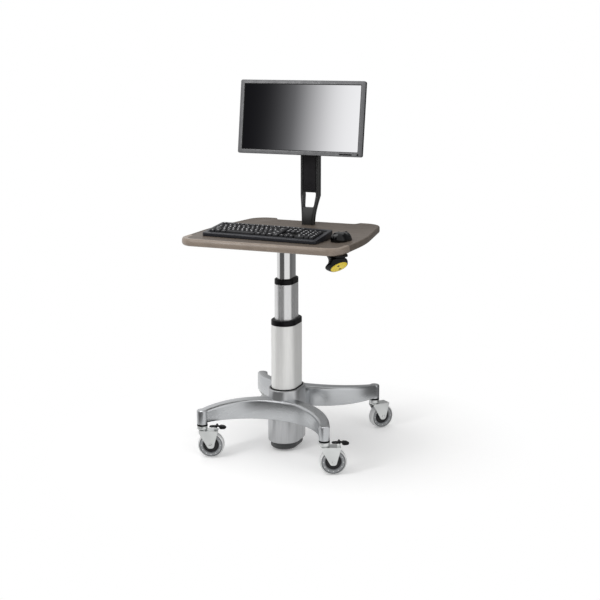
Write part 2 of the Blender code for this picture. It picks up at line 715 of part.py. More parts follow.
def build_caster(label, side, way, trail_angle, braked, base):
    """One caster under its boss, trailing at an angle from +X."""
    name = "caster_" + label
    place = (side * STEM_HALF_X, way * STEM_HALF_Y, 0)
    swivel = empty(name + "_swivel", base, place, (0, 0, trail_angle))
    rivet_top = CROWN_BOTTOM - SEAT_GAP
    stem_profile = [
        (RIVET_RADIUS, rivet_top - RIVET_THICKNESS),
        (RIVET_RADIUS, rivet_top),
        (STEM_RADIUS, rivet_top),
        (STEM_RADIUS, BOSS_BOTTOM + STEM_LENGTH),
    ]
    node(name + "_stem", turned(stem_profile, PIN_STEPS), STEEL, swivel)
    seal_top = BOSS_BOTTOM - SEAT_GAP
    hole = STEM_RADIUS + SEAT_GAP
    low = seal_top - SEAL_THICKNESS
    seal_profile = [(hole, low), (BOSS_RADIUS, low), (BOSS_RADIUS, seal_top), (hole, seal_top)]
    node(name + "_seal", turned(seal_profile, CORE_STEPS, ring=True), BLACK, swivel)
    build_fork(name, swivel, braked)
    if braked:
        build_brake(name, swivel)
    wheel = empty(name + "_wheel", swivel, (TRAIL, 0, WHEEL_RADIUS))
    head_in = FORK_OUTSIDE + SEAT_GAP
    head_out = head_in + AXLE_HEAD_HEIGHT
    axle_profile = [
        (AXLE_HEAD_RADIUS, -head_out),
        (AXLE_HEAD_RADIUS, -head_in),
        (AXLE_RADIUS, -head_in),
        (AXLE_RADIUS, head_in),
        (AXLE_HEAD_RADIUS, head_in),
        (AXLE_HEAD_RADIUS, head_out),
    ]
    node(name + "_axle", turned_y(axle_profile, PIN_STEPS), STEEL, wheel)
    build_wheel(name, wheel)


def collar_shape(half_width, half_length, low, next_half_width, next_half_length):
    """A guide collar on a tube's top with a skirt inside it, round the next tube."""
    outside = obround(half_width, half_length)
    drawn_in = obround(half_width - COLLAR_ROUND, half_length - COLLAR_ROUND)
    skirt = obround(half_width - TUBE_WALL - SEAT_GAP, half_length - TUBE_WALL - SEAT_GAP)
    inside = obround(next_half_width + RUNNING_GAP, next_half_length + RUNNING_GAP)
    loops = [
        at(skirt, low - COLLAR_SKIRT),
        at(skirt, low),
        at(outside, low),
        at(outside, low + COLLAR_HEIGHT - COLLAR_ROUND),
        at(drawn_in, low + COLLAR_HEIGHT),
        at(inside, low + COLLAR_HEIGHT),
        at(inside, low - COLLAR_SKIRT),
    ]
    return loft(loops, ring=True)


def build_column(column):
    """Three telescoping tubes with collars, a gas spring and the bracket on top."""
    foot = HUB_FLOOR_TOP + SEAT_GAP
    outer_tube = tube(OUTER_HALF_WIDTH, OUTER_HALF_LENGTH, TUBE_WALL, foot, OUTER_TOP)
    node("outer_tube", outer_tube, ALUMINIUM, column)
    outer_collar = collar_shape(
        OUTER_HALF_WIDTH, OUTER_HALF_LENGTH, OUTER_TOP + SEAT_GAP, MIDDLE_HALF_WIDTH, MIDDLE_HALF_LENGTH
    )
    node("outer_collar", outer_collar, BLACK, column)

    middle = empty("middle_stage", column)
    middle_tube = tube(MIDDLE_HALF_WIDTH, MIDDLE_HALF_LENGTH, TUBE_WALL, MIDDLE_FOOT, MIDDLE_TOP)
    node("middle_tube", middle_tube, POLISHED, middle)
    middle_collar = collar_shape(
        MIDDLE_HALF_WIDTH, MIDDLE_HALF_LENGTH, MIDDLE_TOP + SEAT_GAP, INNER_HALF_WIDTH, INNER_HALF_LENGTH
    )
    node("middle_collar", middle_collar, BLACK, middle)

    inner = empty("inner_stage", middle)
    inner_tube = tube(INNER_HALF_WIDTH, INNER_HALF_LENGTH, TUBE_WALL, INNER_FOOT, INNER_TOP)
    node("inner_tube", inner_tube, POLISHED, inner)

    bore = ROD_RADIUS + RUNNING_GAP
    spring_profile = [
        (SPRING_RADIUS, foot),
        (SPRING_RADIUS, SPRING_TOP),
        (bore, SPRING_TOP),
        (bore, foot + SPRING_FLOOR),
    ]
    node("gas_spring_cylinder", turned(spring_profile, CORE_STEPS), BLACK, column)
    rod_top = BRACKET_BOTTOM - BRACKET_PLUG - SEAT_GAP
    node("gas_spring_rod", turned([(ROD_RADIUS, ROD_FOOT), (ROD_RADIUS, rod_top)], CORE_STEPS), STEEL, inner)

    plug_wall = TUBE_WALL + SEAT_GAP
    plug = obround(INNER_HALF_WIDTH - plug_wall, INNER_HALF_LENGTH - plug_wall)
    plate = rectangle(BRACKET_HALF_WIDTH, BRACKET_HALF_LENGTH, BRACKET_PLATE)
    bracket = node("top_bracket", slab(plate, BRACKET_BOTTOM, BRACKET_BOTTOM + BRACKET_PLATE), STEEL, inner)
    plug_shape = slab(plug, BRACKET_BOTTOM - BRACKET_PLUG, BRACKET_BOTTOM + BRACKET_PLATE / 2)
    boolean(bracket, cutter("bracket_plug", plug_shape, inner), "UNION")
    return inner


def surface_outline(inset):
    """The board's outline, moved in by an inset."""
    recess_top = SURFACE_BACK - RECESS_DEPTH
    corners = [
        (-SURFACE_FRONT_HALF, -SURFACE_FRONT),
        (SURFACE_FRONT_HALF, -SURFACE_FRONT),
        (SURFACE_MIDDLE_HALF, 0),
        (SURFACE_BACK_HALF, SURFACE_BACK),
        (RECESS_HALF + RECESS_SLOPE, SURFACE_BACK),
        (RECESS_HALF, recess_top),
        (-RECESS_HALF, recess_top),
        (-RECESS_HALF - RECESS_SLOPE, SURFACE_BACK),
        (-SURFACE_BACK_HALF, SURFACE_BACK),
        (-SURFACE_MIDDLE_HALF, 0),
    ]
    front = SURFACE_FRONT_CORNER
    side = SURFACE_SIDE_ROUND
    back = SURFACE_BACK_CORNER
    radii = [front, front, side, back, RECESS_ROUND, RECESS_ROUND, RECESS_ROUND, RECESS_ROUND, back, side]
    return rounded(corners, radii, CORNER_STEPS, inset)


def build_surface(top):
    """The work surface with round edges."""
    loops = []
    for k in range(EDGE_STEPS + 1):
        angle = math.pi / 2 * k / EDGE_STEPS
        inset = SURFACE_BOTTOM_ROUND * (1 - math.sin(angle))
        height = SURFACE_BOTTOM + SURFACE_BOTTOM_ROUND * (1 - math.cos(angle))
        loops.append(at(surface_outline(inset), height))
    for k in range(EDGE_STEPS + 1):
        angle = math.pi / 2 * k / EDGE_STEPS
        inset = SURFACE_TOP_ROUND * (1 - math.cos(angle))
        height = SURFACE_TOP - SURFACE_TOP_ROUND * (1 - math.sin(angle))
        loops.append(at(surface_outline(inset), height))
    node("work_surface", loft(loops), TAUPE, top)


def release_loop(centre, radius, lean):
    """A circle in the button's frame, its plane leaning back from the button's face by an angle."""
    out = Vector((math.cos(lean), 0, -math.sin(lean)))
    across = Vector((0, 1, 0))
    return [centre + out * x + across * y for x, y in circle(radius, TYRE_STEPS)]


def build_release(top):
    """The release spool under the front right corner, its face leaning out, with its button."""
    x = SURFACE_FRONT_HALF - RELEASE_FROM_SIDE
    y = RELEASE_FROM_FRONT - SURFACE_FRONT
    place = (x, y, SURFACE_BOTTOM - RELEASE_DROP)
    aim = empty("release_aim", top, place, (0, 180 - RELEASE_LEAN, RELEASE_TURN))
    into = aim.rotation_euler.to_matrix().transposed()
    seat = into @ Vector((-RELEASE_FLANGE_INWARD, 0, RELEASE_DROP - SEAT_GAP))
    flange = into @ Vector((-RELEASE_FLANGE_INWARD, 0, RELEASE_DROP - SEAT_GAP - RELEASE_FLANGE_HEIGHT))
    bell = Vector((0, -RELEASE_BELL_SLIP, -RELEASE_BELL_BEHIND))
    face = Vector((0, 0, 0))
    upright = math.radians(RELEASE_LEAN)
    well = Vector((0, 0, RELEASE_BUTTON_PROUD - RELEASE_BUTTON_THICKNESS - RELEASE_TRAVEL - SEAT_GAP))
    well_radius = RELEASE_BUTTON_RADIUS + RUNNING_GAP
    stalk_radius = RELEASE_STALK_RADIUS + RUNNING_GAP
    stalk_end = well - Vector((0, 0, RELEASE_STALK_LENGTH + RELEASE_TRAVEL))
    loops = [
        release_loop(seat, RELEASE_FLANGE_RADIUS, upright),
        release_loop(flange, RELEASE_FLANGE_RADIUS, upright),
        release_loop((flange + bell) / 2, RELEASE_WAIST_RADIUS, upright / 2),
        release_loop(bell, RELEASE_BELL_RADIUS, 0.0),
        release_loop(bell * RELEASE_LIP_SHARE, RELEASE_LIP_RADIUS, 0.0),
        release_loop(face, RELEASE_FACE_RADIUS, 0.0),
        release_loop(face, well_radius, 0.0),
        release_loop(well, well_radius, 0.0),
        release_loop(well, stalk_radius, 0.0),
        release_loop(stalk_end, stalk_radius, 0.0),
    ]
    node("release_housing", loft(loops), BLACK, aim)
    button_top = RELEASE_BUTTON_PROUD
    button_profile = [
        (RELEASE_STALK_RADIUS, button_top - RELEASE_BUTTON_THICKNESS - RELEASE_STALK_LENGTH),
        (RELEASE_STALK_RADIUS, button_top - RELEASE_BUTTON_THICKNESS),
        (RELEASE_BUTTON_RADIUS, button_top - RELEASE_BUTTON_THICKNESS),
        (RELEASE_BUTTON_RADIUS, button_top - RELEASE_BUTTON_PROUD),
        (RELEASE_BUTTON_RADIUS - RELEASE_BUTTON_PROUD, button_top),
    ]
    node("release_button", turned(button_profile, TYRE_STEPS), YELLOW, aim)


def key_box(left, front, width, depth, low, high):
    """A key cap with sloping sides."""
    taper = KEY_TAPER
    foot = [(left, front), (left + width, front), (left + width, front + depth), (left, front + depth)]
    crown = [
        (left + taper, front + taper),
        (left + width - taper, front + taper),
        (left + width - taper, front + depth - taper),
        (left + taper, front + depth - taper),
    ]
    return loft([at(foot, low), at(crown, high)])


def key_places():
    """Left, front, width and depth of each key, from the field's front left corner."""
    rows = len(KEY_ROWS)
    places = []
    for index, blocks in enumerate(KEY_ROWS):
        step = rows - 1 - index + (KEY_ROW_GAP if index == 0 else 0.0)
        for start, widths in zip(KEY_BLOCK_STARTS, blocks):
            along = start
            for units in widths:
                if units > 0:
                    left = KEY_PITCH * along + KEY_GAP / 2
                    front = KEY_PITCH * step + KEY_GAP / 2
                    places.append((left, front, KEY_PITCH * units - KEY_GAP, KEY_PITCH - KEY_GAP))
                along += abs(units)
    return places


def build_keyboard(top):
    """A wedge-shaped keyboard: case, key field and space bar."""
    place = (KEYBOARD_X, KEYBOARD_Y, SURFACE_TOP + SEAT_GAP)
    board = empty("keyboard_place", top, place, (0, 0, KEYBOARD_TURN))
    outline = rectangle(KEYBOARD_WIDTH / 2, KEYBOARD_DEPTH / 2, KEYBOARD_CORNER)
    slope = (KEYBOARD_BACK_HEIGHT - KEYBOARD_FRONT_HEIGHT) / KEYBOARD_DEPTH
    middle_height = (KEYBOARD_BACK_HEIGHT + KEYBOARD_FRONT_HEIGHT) / 2
    deck = [Vector((x, y, middle_height + slope * y)) for x, y in outline]
    case = node("keyboard_case", loft([at(outline, 0.0), deck]), BLACK, board)

    tilt = math.degrees(math.atan(slope))
    field = empty("key_field", board, (0, 0, middle_height), (tilt, 0, 0))
    half_width = KEY_FIELD_UNITS * KEY_PITCH / 2
    half_depth = (len(KEY_ROWS) + KEY_ROW_GAP) * KEY_PITCH / 2
    reach_x = half_width + KEY_MARGIN
    reach_y = half_depth + KEY_MARGIN
    well = block((-reach_x, -reach_y, -KEY_WELL), (reach_x, reach_y, KEYBOARD_BACK_HEIGHT))
    boolean(case, cutter("key_well", well, field), "DIFFERENCE")

    plate_low = -KEY_WELL + SEAT_GAP
    plate_high = -KEY_TRAVEL - SEAT_GAP
    side_x = reach_x - SEAT_GAP
    side_y = reach_y - SEAT_GAP
    plate = block((-side_x, -side_y, plate_low), (side_x, side_y, plate_high))
    keys = node("keyboard_keys", plate, BLACK, field)
    caps = bmesh.new()
    for left, front, width, depth in key_places():
        cap = key_box(left - half_width, front - half_depth, width, depth, plate_high - KEY_PLATE, KEY_HEIGHT)
        bmesh.ops.recalc_face_normals(cap, faces=cap.faces)
        mesh = bpy.data.meshes.new("cap")
        cap.to_mesh(mesh)
        cap.free()
        caps.from_mesh(mesh)
        bpy.data.meshes.remove(mesh)
    boolean(keys, cutter("key_caps", caps, field), "UNION")

    bar_left = BAR_START_UNITS * KEY_PITCH + KEY_GAP / 2 - half_width
    bar_width = BAR_UNITS * KEY_PITCH - KEY_GAP
    bar_depth = KEY_PITCH - KEY_GAP
    bar_front = (len(KEY_ROWS) - 1 - BAR_ROW) * KEY_PITCH + KEY_GAP / 2 - half_depth
    bar = node("space_bar", key_box(bar_left, bar_front, bar_width, bar_depth, 0.0, KEY_HEIGHT), BLACK, field)
    x = bar_left + bar_width / 2
    y = bar_front + bar_depth / 2
    half_x = BAR_STEM_WIDTH / 2
    half_y = BAR_STEM_DEPTH / 2
    stem_low = plate_low + KEY_TRAVEL + SEAT_GAP
    stem = block((x - half_x, y - half_y, stem_low), (x + half_x, y + half_y, KEY_HEIGHT / 2))
    boolean(bar, cutter("bar_stem", stem, field), "UNION")
    half_x += RUNNING_GAP
    half_y += RUNNING_GAP
    hole = block((x - half_x, y - half_y, -2 * KEY_WELL), (x + half_x, y + half_y, KEY_WELL))
    boolean(keys, cutter("bar_stem_hole", hole, field), "DIFFERENCE")


def squared(value):
    """Push a sine or cosine out toward a squarer oval."""
    return math.copysign(abs(value) ** MOUSE_SQUARENESS, value)


def mouse_body():
    """The mouse's whole outer form, the front toward +Y."""
    loops = []
    for k in range(MOUSE_RINGS + 1):
        angle = math.pi / 2 * k / MOUSE_RINGS
        height = MOUSE_HEIGHT * math.sin(angle)
        draw = max(math.cos(angle), MOUSE_CROWN) ** MOUSE_BULGE
        slip = -MOUSE_LEAN_BACK * math.sin(angle)
        wide = MOUSE_HALF_WIDTH * draw
        long = MOUSE_HALF_LENGTH * draw
        turns = [2 * math.pi * j / MOUSE_STEPS for j in range(MOUSE_STEPS)]
        loops.append([
            Vector((wide * squared(math.cos(t)), long * squared(math.sin(t)) + slip, height))
            for t in turns
        ])
    return loft(loops)


def mouse_button_box(side, grow, low):
    """The room of a mouse button beside the split, as a block."""
    near = MOUSE_SPLIT / 2 - grow
    back = MOUSE_HALF_LENGTH - MOUSE_BUTTON_LENGTH - grow
    x_low = near if side > 0 else -2 * MOUSE_HALF_WIDTH
    x_high = 2 * MOUSE_HALF_WIDTH if side > 0 else -near
    return block((x_low, back, low), (x_high, 2 * MOUSE_HALF_LENGTH, 2 * MOUSE_HEIGHT))


def build_mouse(top):
    """A mouse with two buttons that rock at their back edge, and a scroll wheel."""
    place = (MOUSE_X, MOUSE_Y, SURFACE_TOP + SEAT_GAP)
    rest = empty("mouse_place", top, place, (0, 0, MOUSE_TURN))
    split_height = MOUSE_HEIGHT - 3 * MOUSE_BUTTON_DEPTH
    shell = node("mouse_shell", mouse_body(), BLACK, rest)
    back = MOUSE_HALF_LENGTH - MOUSE_BUTTON_LENGTH
    room_low = (-2 * MOUSE_HALF_WIDTH, back - RUNNING_GAP, split_height - MOUSE_BUTTON_DROP)
    room = block(room_low, (2 * MOUSE_HALF_WIDTH, 2 * MOUSE_HALF_LENGTH, 2 * MOUSE_HEIGHT))
    boolean(shell, cutter("mouse_button_room", room, rest), "DIFFERENCE")
    wheel_y = MOUSE_WHEEL_FORWARD
    slot_half = MOUSE_WHEEL_WIDTH / 2 + MOUSE_SLOT_GAP
    slot_reach = MOUSE_WHEEL_RADIUS + MOUSE_SLOT_GAP
    for side, label in ((-1, "left"), (1, "right")):
        button = node(f"mouse_{label}_button", mouse_body(), BLACK, rest)
        keep = cutter(f"mouse_{label}_keep", mouse_button_box(side, 0.0, split_height), rest)
        boolean(button, keep, "INTERSECT")
        slot_low = (-slot_half, wheel_y - slot_reach, 0)
        slot = block(slot_low, (slot_half, 2 * MOUSE_HALF_LENGTH, 2 * MOUSE_HEIGHT))
        boolean(button, cutter(f"mouse_{label}_slot", slot, rest), "DIFFERENCE")
    pit_low = MOUSE_WHEEL_HEIGHT - MOUSE_WHEEL_RADIUS - SEAT_GAP
    pit = block((-slot_half, wheel_y - slot_reach, pit_low), (slot_half, wheel_y + slot_reach, MOUSE_HEIGHT))
    boolean(shell, cutter("mouse_wheel_pit", pit, rest), "DIFFERENCE")
    spin = empty("mouse_wheel_spin", rest, (0, wheel_y, MOUSE_WHEEL_HEIGHT))
    half = MOUSE_WHEEL_WIDTH / 2
    round_edge = half / 2
    wheel_profile = [
        (MOUSE_WHEEL_RADIUS - round_edge, -half),
        (MOUSE_WHEEL_RADIUS, -half + round_edge),
        (MOUSE_WHEEL_RADIUS, half - round_edge),
        (MOUSE_WHEEL_RADIUS - round_edge, half),
    ]
    node("mouse_wheel", turned_x(wheel_profile, CORE_STEPS), DARK_GREY, spin)


def build_post(top):
    """The monitor post with its cable window and front panel."""
    post_top = PIVOT_Z + POST_ABOVE_PIVOT
    sections = []
    for k in range(POST_SWEEP_STEPS + 1):
        share = k / POST_SWEEP_STEPS
        pull = math.cos(math.pi / 2 * share)
        half_width = POST_HALF_WIDTH + (POST_FOOT_HALF_WIDTH - POST_HALF_WIDTH) * pull
        half_depth = POST_HALF_DEPTH + (POST_FOOT_HALF_DEPTH - POST_HALF_DEPTH) * pull
        middle = POST_Y + (POST_FOOT_Y - POST_Y) * pull
        sections.append((half_width, half_depth, middle, POST_BOTTOM + POST_SWEEP_HEIGHT * share))
    drawn_in = POST_CORNER / 2
    sections.append((POST_HALF_WIDTH, POST_HALF_DEPTH, POST_Y, post_top - POST_CORNER))
    sections.append((POST_HALF_WIDTH - drawn_in, POST_HALF_DEPTH - drawn_in, POST_Y, post_top))
    loops = []
    for half_width, half_depth, middle, z in sections:
        outline = rectangle(half_width, half_depth, POST_CORNER, EDGE_STEPS)
        loops.append([Vector((x, y + middle, z)) for x, y in outline])
    post = node("monitor_post", loft(loops), BLACK, top)
    wide = WINDOW_HALF_WIDTH_TOP
    narrow = WINDOW_HALF_WIDTH_BOTTOM
    corners = ((-narrow, WINDOW_BOTTOM), (narrow, WINDOW_BOTTOM), (wide, WINDOW_TOP), (-wide, WINDOW_TOP))
    outline = rounded(corners, [WINDOW_CORNER] * 4, EDGE_STEPS)
    window = sideways(outline, POST_FOOT_Y - POST_HALF_DEPTH, POST_Y + 2 * POST_HALF_DEPTH)
    boolean(post, cutter("post_window", window, top), "DIFFERENCE")
    low = WINDOW_TOP + PANEL_ABOVE_WINDOW
    high = PIVOT_Z - PANEL_BELOW_PIVOT
    pocket = block(
        (-PANEL_HALF_WIDTH - SEAT_GAP, POST_FRONT - PANEL_POCKET, low - SEAT_GAP),
        (PANEL_HALF_WIDTH + SEAT_GAP, POST_FRONT + PANEL_POCKET, high + SEAT_GAP),
    )
    boolean(post, cutter("panel_pocket", pocket, top), "DIFFERENCE")
    back = POST_FRONT + PANEL_POCKET - SEAT_GAP
    front = back - PANEL_THICKNESS
    profile = [(back, low), (back, high), (front, high)]
    for k in reversed(range(PANEL_RIBS)):
        rib = low + PANEL_RIB_PITCH * (k + 0.5)
        foot = PANEL_RIB_PITCH / 4
        crest = PANEL_RIB_PITCH / 8
        proud = front - PANEL_RIB_HEIGHT
        profile += [(front, rib + foot), (proud, rib + crest), (proud, rib - crest), (front, rib - foot)]
    profile.append((front, low))
    half = PANEL_HALF_WIDTH
    panel = loft([[Vector((x, y, z)) for y, z in profile] for x in (-half, half)])
    node("post_panel", panel, BLACK, top)


def monitor_frame(half_width, low, high, corner, depth):
    """A round-cornered upright rectangle of the monitor at a depth behind its front."""
    corners = ((-half_width, low), (half_width, low), (half_width, high), (-half_width, high))
    outline = rounded(corners, [corner] * 4, EDGE_STEPS)
    return [Vector((x, -MONITOR_FRONT + depth, z)) for x, z in outline]


def monitor_box(inset, depth):
    """The monitor's outline moved in by an inset, at a depth."""
    half_width = MONITOR_WIDTH / 2 - inset
    half_height = MONITOR_HEIGHT / 2 - inset
    corner = max(MONITOR_CORNER - inset, BEZEL_EDGE)
    return monitor_frame(half_width, -half_height, half_height, corner, depth)


def screen_box(grow, depth):
    """The visible screen's outline, grown outward, at a depth."""
    half_width = MONITOR_WIDTH / 2 - BEZEL_SIDE + grow
    low = -MONITOR_HEIGHT / 2 + BEZEL_BOTTOM - grow
    high = MONITOR_HEIGHT / 2 - BEZEL_TOP + grow
    return monitor_frame(half_width, low, high, BEZEL_EDGE, depth)


def build_tilt_mount(top, tilt):
    """The bracket on the post, the pin, and the plate with its knuckle on the monitor."""
    ear_in = KNUCKLE_HALF_WIDTH + RUNNING_GAP
    ear_out = ear_in + EAR_WIDTH
    pivot = Vector((0, PIVOT_Y, PIVOT_Z))
    post_face = POST_FRONT - SEAT_GAP
    half_height = BRACKET_BACK_HALF_HEIGHT
    plate_low = (-ear_out, post_face - BRACKET_BACK, PIVOT_Z - half_height)
    plate = block(plate_low, (ear_out, post_face, PIVOT_Z + half_height))
    bracket = node("tilt_bracket", plate, BLACK, top)
    angles = [math.pi / 2 + math.pi * k / CORNER_STEPS for k in range(CORNER_STEPS + 1)]
    ear_outline = [(PIVOT_Y + EAR_RADIUS * math.cos(a), PIVOT_Z + EAR_RADIUS * math.sin(a)) for a in angles]
    ear_root = post_face - BRACKET_BACK / 2
    ear_outline += [(ear_root, PIVOT_Z - EAR_RADIUS), (ear_root, PIVOT_Z + EAR_RADIUS)]
    hole = PIN_RADIUS + SEAT_GAP
    for side in (-1, 1):
        label = "left" if side < 0 else "right"
        ends = sorted((side * ear_in, side * ear_out))
        ear = loft([[Vector((x, y, z)) for y, z in ear_outline] for x in ends])
        boolean(bracket, cutter(f"tilt_{label}_ear", ear, top), "UNION")
    bore = cutter("tilt_bore", turned_x([(hole, -2 * ear_out), (hole, 2 * ear_out)], PIN_STEPS), top)
    bore.location = pivot
    boolean(bracket, bore, "DIFFERENCE")
    head_in = ear_out + SEAT_GAP
    head_out = head_in + PIN_HEAD_HEIGHT
    pin_profile = [
        (PIN_HEAD_RADIUS, -head_out),
        (PIN_HEAD_RADIUS, -head_in),
        (PIN_RADIUS, -head_in),
        (PIN_RADIUS, head_in),
        (PIN_HEAD_RADIUS, head_in),
        (PIN_HEAD_RADIUS, head_out),
    ]
    pin = node("tilt_pin", turned_x(pin_profile, PIN_STEPS), STEEL, top)
    pin.location = pivot

    plate_front = -MONITOR_FRONT + MONITOR_BULGE_DEPTH + SEAT_GAP
    plate_back = plate_front + MOUNT_PLATE
    square = rectangle(MOUNT_HALF, MOUNT_HALF, MOUNT_PLATE, EDGE_STEPS)
    mount = node("monitor_mount", sideways(square, plate_front, plate_back), BLACK, tilt)
    barrel_profile = [(KNUCKLE_RADIUS, -KNUCKLE_HALF_WIDTH), (KNUCKLE_RADIUS, KNUCKLE_HALF_WIDTH)]
    barrel = turned_x(barrel_profile, CORE_STEPS)
    boolean(mount, cutter("knuckle", barrel, tilt), "UNION")
    half = KNUCKLE_HALF_WIDTH - SEAT_GAP
    neck_half = KNUCKLE_RADIUS - SEAT_GAP
    neck = block((-half, plate_front + MOUNT_PLATE / 2, -neck_half), (half, 0.0, neck_half))
    boolean(mount, cutter("knuckle_neck", neck, tilt), "UNION")
    running = PIN_RADIUS + RUNNING_GAP
    hole_x = turned_x([(running, -2 * ear_out), (running, 2 * ear_out)], PIN_STEPS)
    boolean(mount, cutter("knuckle_bore", hole_x, tilt), "DIFFERENCE")


def build_monitor(top):
    """The tilting monitor: mount, back shell, screen, bezel and buttons."""
    tilt = empty("monitor_tilt", top, (0, PIVOT_Y, PIVOT_Z), (-MONITOR_LEAN, 0, 0))
    build_tilt_mount(top, tilt)
    bezel_loops = [
        monitor_box(0.0, BEZEL_DEPTH),
        monitor_box(0.0, BEZEL_EDGE),
        monitor_box(BEZEL_EDGE, 0.0),
        screen_box(BEZEL_EDGE, 0.0),
        screen_box(0.0, BEZEL_EDGE),
        screen_box(0.0, BEZEL_DEPTH),
    ]
    bezel = node("monitor_bezel", loft(bezel_loops, ring=True), BEZEL_GREY, tilt)

    room = SEAT_GAP + SCREEN_LIP
    screen_front = BEZEL_DEPTH + SEAT_GAP
    screen_back = screen_front + SCREEN_THICKNESS
    panel = loft([screen_box(SCREEN_LIP, screen_back), screen_box(SCREEN_LIP, screen_front)])
    node("monitor_screen", panel, SCREEN_GREY, tilt)

    shell_front = BEZEL_DEPTH + SEAT_GAP
    back_loops = [
        screen_box(room, screen_back + SEAT_GAP),
        screen_box(room, shell_front),
        monitor_box(0.0, shell_front),
        monitor_box(0.0, MONITOR_EDGE_DEPTH),
        monitor_box(MONITOR_CORNER, MONITOR_EDGE_DEPTH + MONITOR_CORNER),
        monitor_box(MONITOR_BULGE_INSET, MONITOR_BULGE_DEPTH - MONITOR_WALL),
        monitor_box(MONITOR_BULGE_INSET + MONITOR_WALL, MONITOR_BULGE_DEPTH),
    ]
    node("monitor_back", loft(back_loops), BLACK, tilt)

    strip_z = -MONITOR_HEIGHT / 2 + BEZEL_BOTTOM / 2
    front = -MONITOR_FRONT
    power_x = MONITOR_WIDTH / 2 - POWER_FROM_SIDE
    menu_x = MONITOR_WIDTH / 2 - MENU_FROM_SIDE
    floor = front + BUTTON_BODY + BUTTON_TRAVEL
    power = turned_y([(POWER_RADIUS, -BUTTON_PROUD), (POWER_RADIUS, BUTTON_BODY)], PIN_STEPS)
    power.transform(Matrix.Translation((power_x, front, strip_z)))
    node("monitor_power_button", power, BLACK, tilt)
    grown = POWER_RADIUS + RUNNING_GAP
    power_hole = turned_y([(grown, -BEZEL_DEPTH), (grown, BUTTON_BODY + BUTTON_TRAVEL)], PIN_STEPS)
    power_hole.transform(Matrix.Translation((power_x, front, strip_z)))
    boolean(bezel, cutter("power_hole", power_hole, tilt), "DIFFERENCE")
    low_z = strip_z - MENU_HEIGHT / 2
    high_z = strip_z + MENU_HEIGHT / 2
    menu = block((menu_x - MENU_LENGTH, front - BUTTON_PROUD, low_z), (menu_x, front + BUTTON_BODY, high_z))
    node("monitor_menu_buttons", menu, BLACK, tilt)
    gap = RUNNING_GAP
    hole_low = (menu_x - MENU_LENGTH - gap, front - BEZEL_DEPTH, low_z - gap)
    menu_hole = block(hole_low, (menu_x + gap, floor, high_z + gap))
    boolean(bezel, cutter("menu_hole", menu_hole, tilt), "DIFFERENCE")


def centre_on_floor(root):
    """Move the root so that the cart's box is centred over the origin."""
    bpy.context.view_layer.update()
    graph = bpy.context.evaluated_depsgraph_get()
    points = []
    for item in bpy.data.objects:
        if item.type == "MESH" and not item.hide_render:
            shown = item.evaluated_get(graph)
            mesh = shown.to_mesh()
            points += [shown.matrix_world @ vertex.co for vertex in mesh.vertices]
            shown.to_mesh_clear()
    for axis in (0, 1):
        places = [point[axis] for point in points]
        root.location[axis] -= (min(places) + max(places)) / 2
    bpy.context.view_layer.update()


def main():
    clear_scene()
    column = empty("column_place", None)
    base = empty("base_place", column, (0, BASE_SHIFT, 0))
    build_rail("front_rail", -1, base, column)
    build_rail("rear_rail", 1, base, column)
    build_hub(base, column)
    for label, side, way, trail_angle, braked in CASTERS:
        build_caster(label, side, way, trail_angle, braked, base)
    top = build_column(column)
    build_surface(top)
    build_release(top)
    build_keyboard(top)
    build_mouse(top)
    build_post(top)
    build_monitor(top)
    centre_on_floor(column)


main()
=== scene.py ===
"""Looks of a mobile computer workstation cart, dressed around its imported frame.

Each sub-assembly is a class with its sizes as fields, in metres. Its build method makes the meshes in the
frame's own coordinates, dresses them with procedural finishes and lets them ride on the frame's bodies.
"""
import json
import logging
import math
from dataclasses import dataclass, field
from enum import Enum
from typing import Iterable, Sequence

import bmesh
import bpy
from mathutils import Matrix, Vector

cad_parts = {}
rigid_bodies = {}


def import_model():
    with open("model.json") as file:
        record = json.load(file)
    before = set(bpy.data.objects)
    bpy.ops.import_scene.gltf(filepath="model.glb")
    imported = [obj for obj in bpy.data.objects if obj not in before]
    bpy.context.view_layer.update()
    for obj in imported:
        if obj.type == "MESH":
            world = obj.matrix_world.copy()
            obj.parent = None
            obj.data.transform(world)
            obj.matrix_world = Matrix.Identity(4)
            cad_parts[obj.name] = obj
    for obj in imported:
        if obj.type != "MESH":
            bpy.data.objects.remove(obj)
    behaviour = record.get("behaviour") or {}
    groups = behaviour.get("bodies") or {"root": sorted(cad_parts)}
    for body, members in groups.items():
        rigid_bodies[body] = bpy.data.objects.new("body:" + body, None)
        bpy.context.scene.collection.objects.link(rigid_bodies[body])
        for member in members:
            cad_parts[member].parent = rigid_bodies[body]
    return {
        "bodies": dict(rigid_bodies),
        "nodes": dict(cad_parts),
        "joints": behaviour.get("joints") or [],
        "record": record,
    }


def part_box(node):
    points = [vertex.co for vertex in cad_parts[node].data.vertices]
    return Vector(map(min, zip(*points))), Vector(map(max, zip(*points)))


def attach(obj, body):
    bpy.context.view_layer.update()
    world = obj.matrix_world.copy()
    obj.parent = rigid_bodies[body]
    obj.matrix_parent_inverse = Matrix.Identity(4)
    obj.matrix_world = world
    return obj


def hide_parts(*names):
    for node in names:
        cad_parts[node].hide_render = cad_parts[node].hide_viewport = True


LOG = logging.getLogger("cart")

SHARP = 35.0

Point2 = tuple[float, float]
Point3 = tuple[float, float, float]
Station = tuple[float, float, float, float]
Outline = list[Point2]
Row = list[Vector]
Colour = tuple[float, float, float]
Tint = tuple[int, int, int]
Socket = bpy.types.NodeSocket
Sockets = bpy.types.bpy_prop_collection
Node = bpy.types.Node
Tree = bpy.types.NodeTree
Mesh = bpy.types.Mesh
Thing = bpy.types.Object
Material = bpy.types.Material
Inputs = dict[str | int, object]


class Axis(Enum):
    """Direction that brush lines or grain run in."""

    X = 0
    Y = 1
    Z = 2
    UV = 3


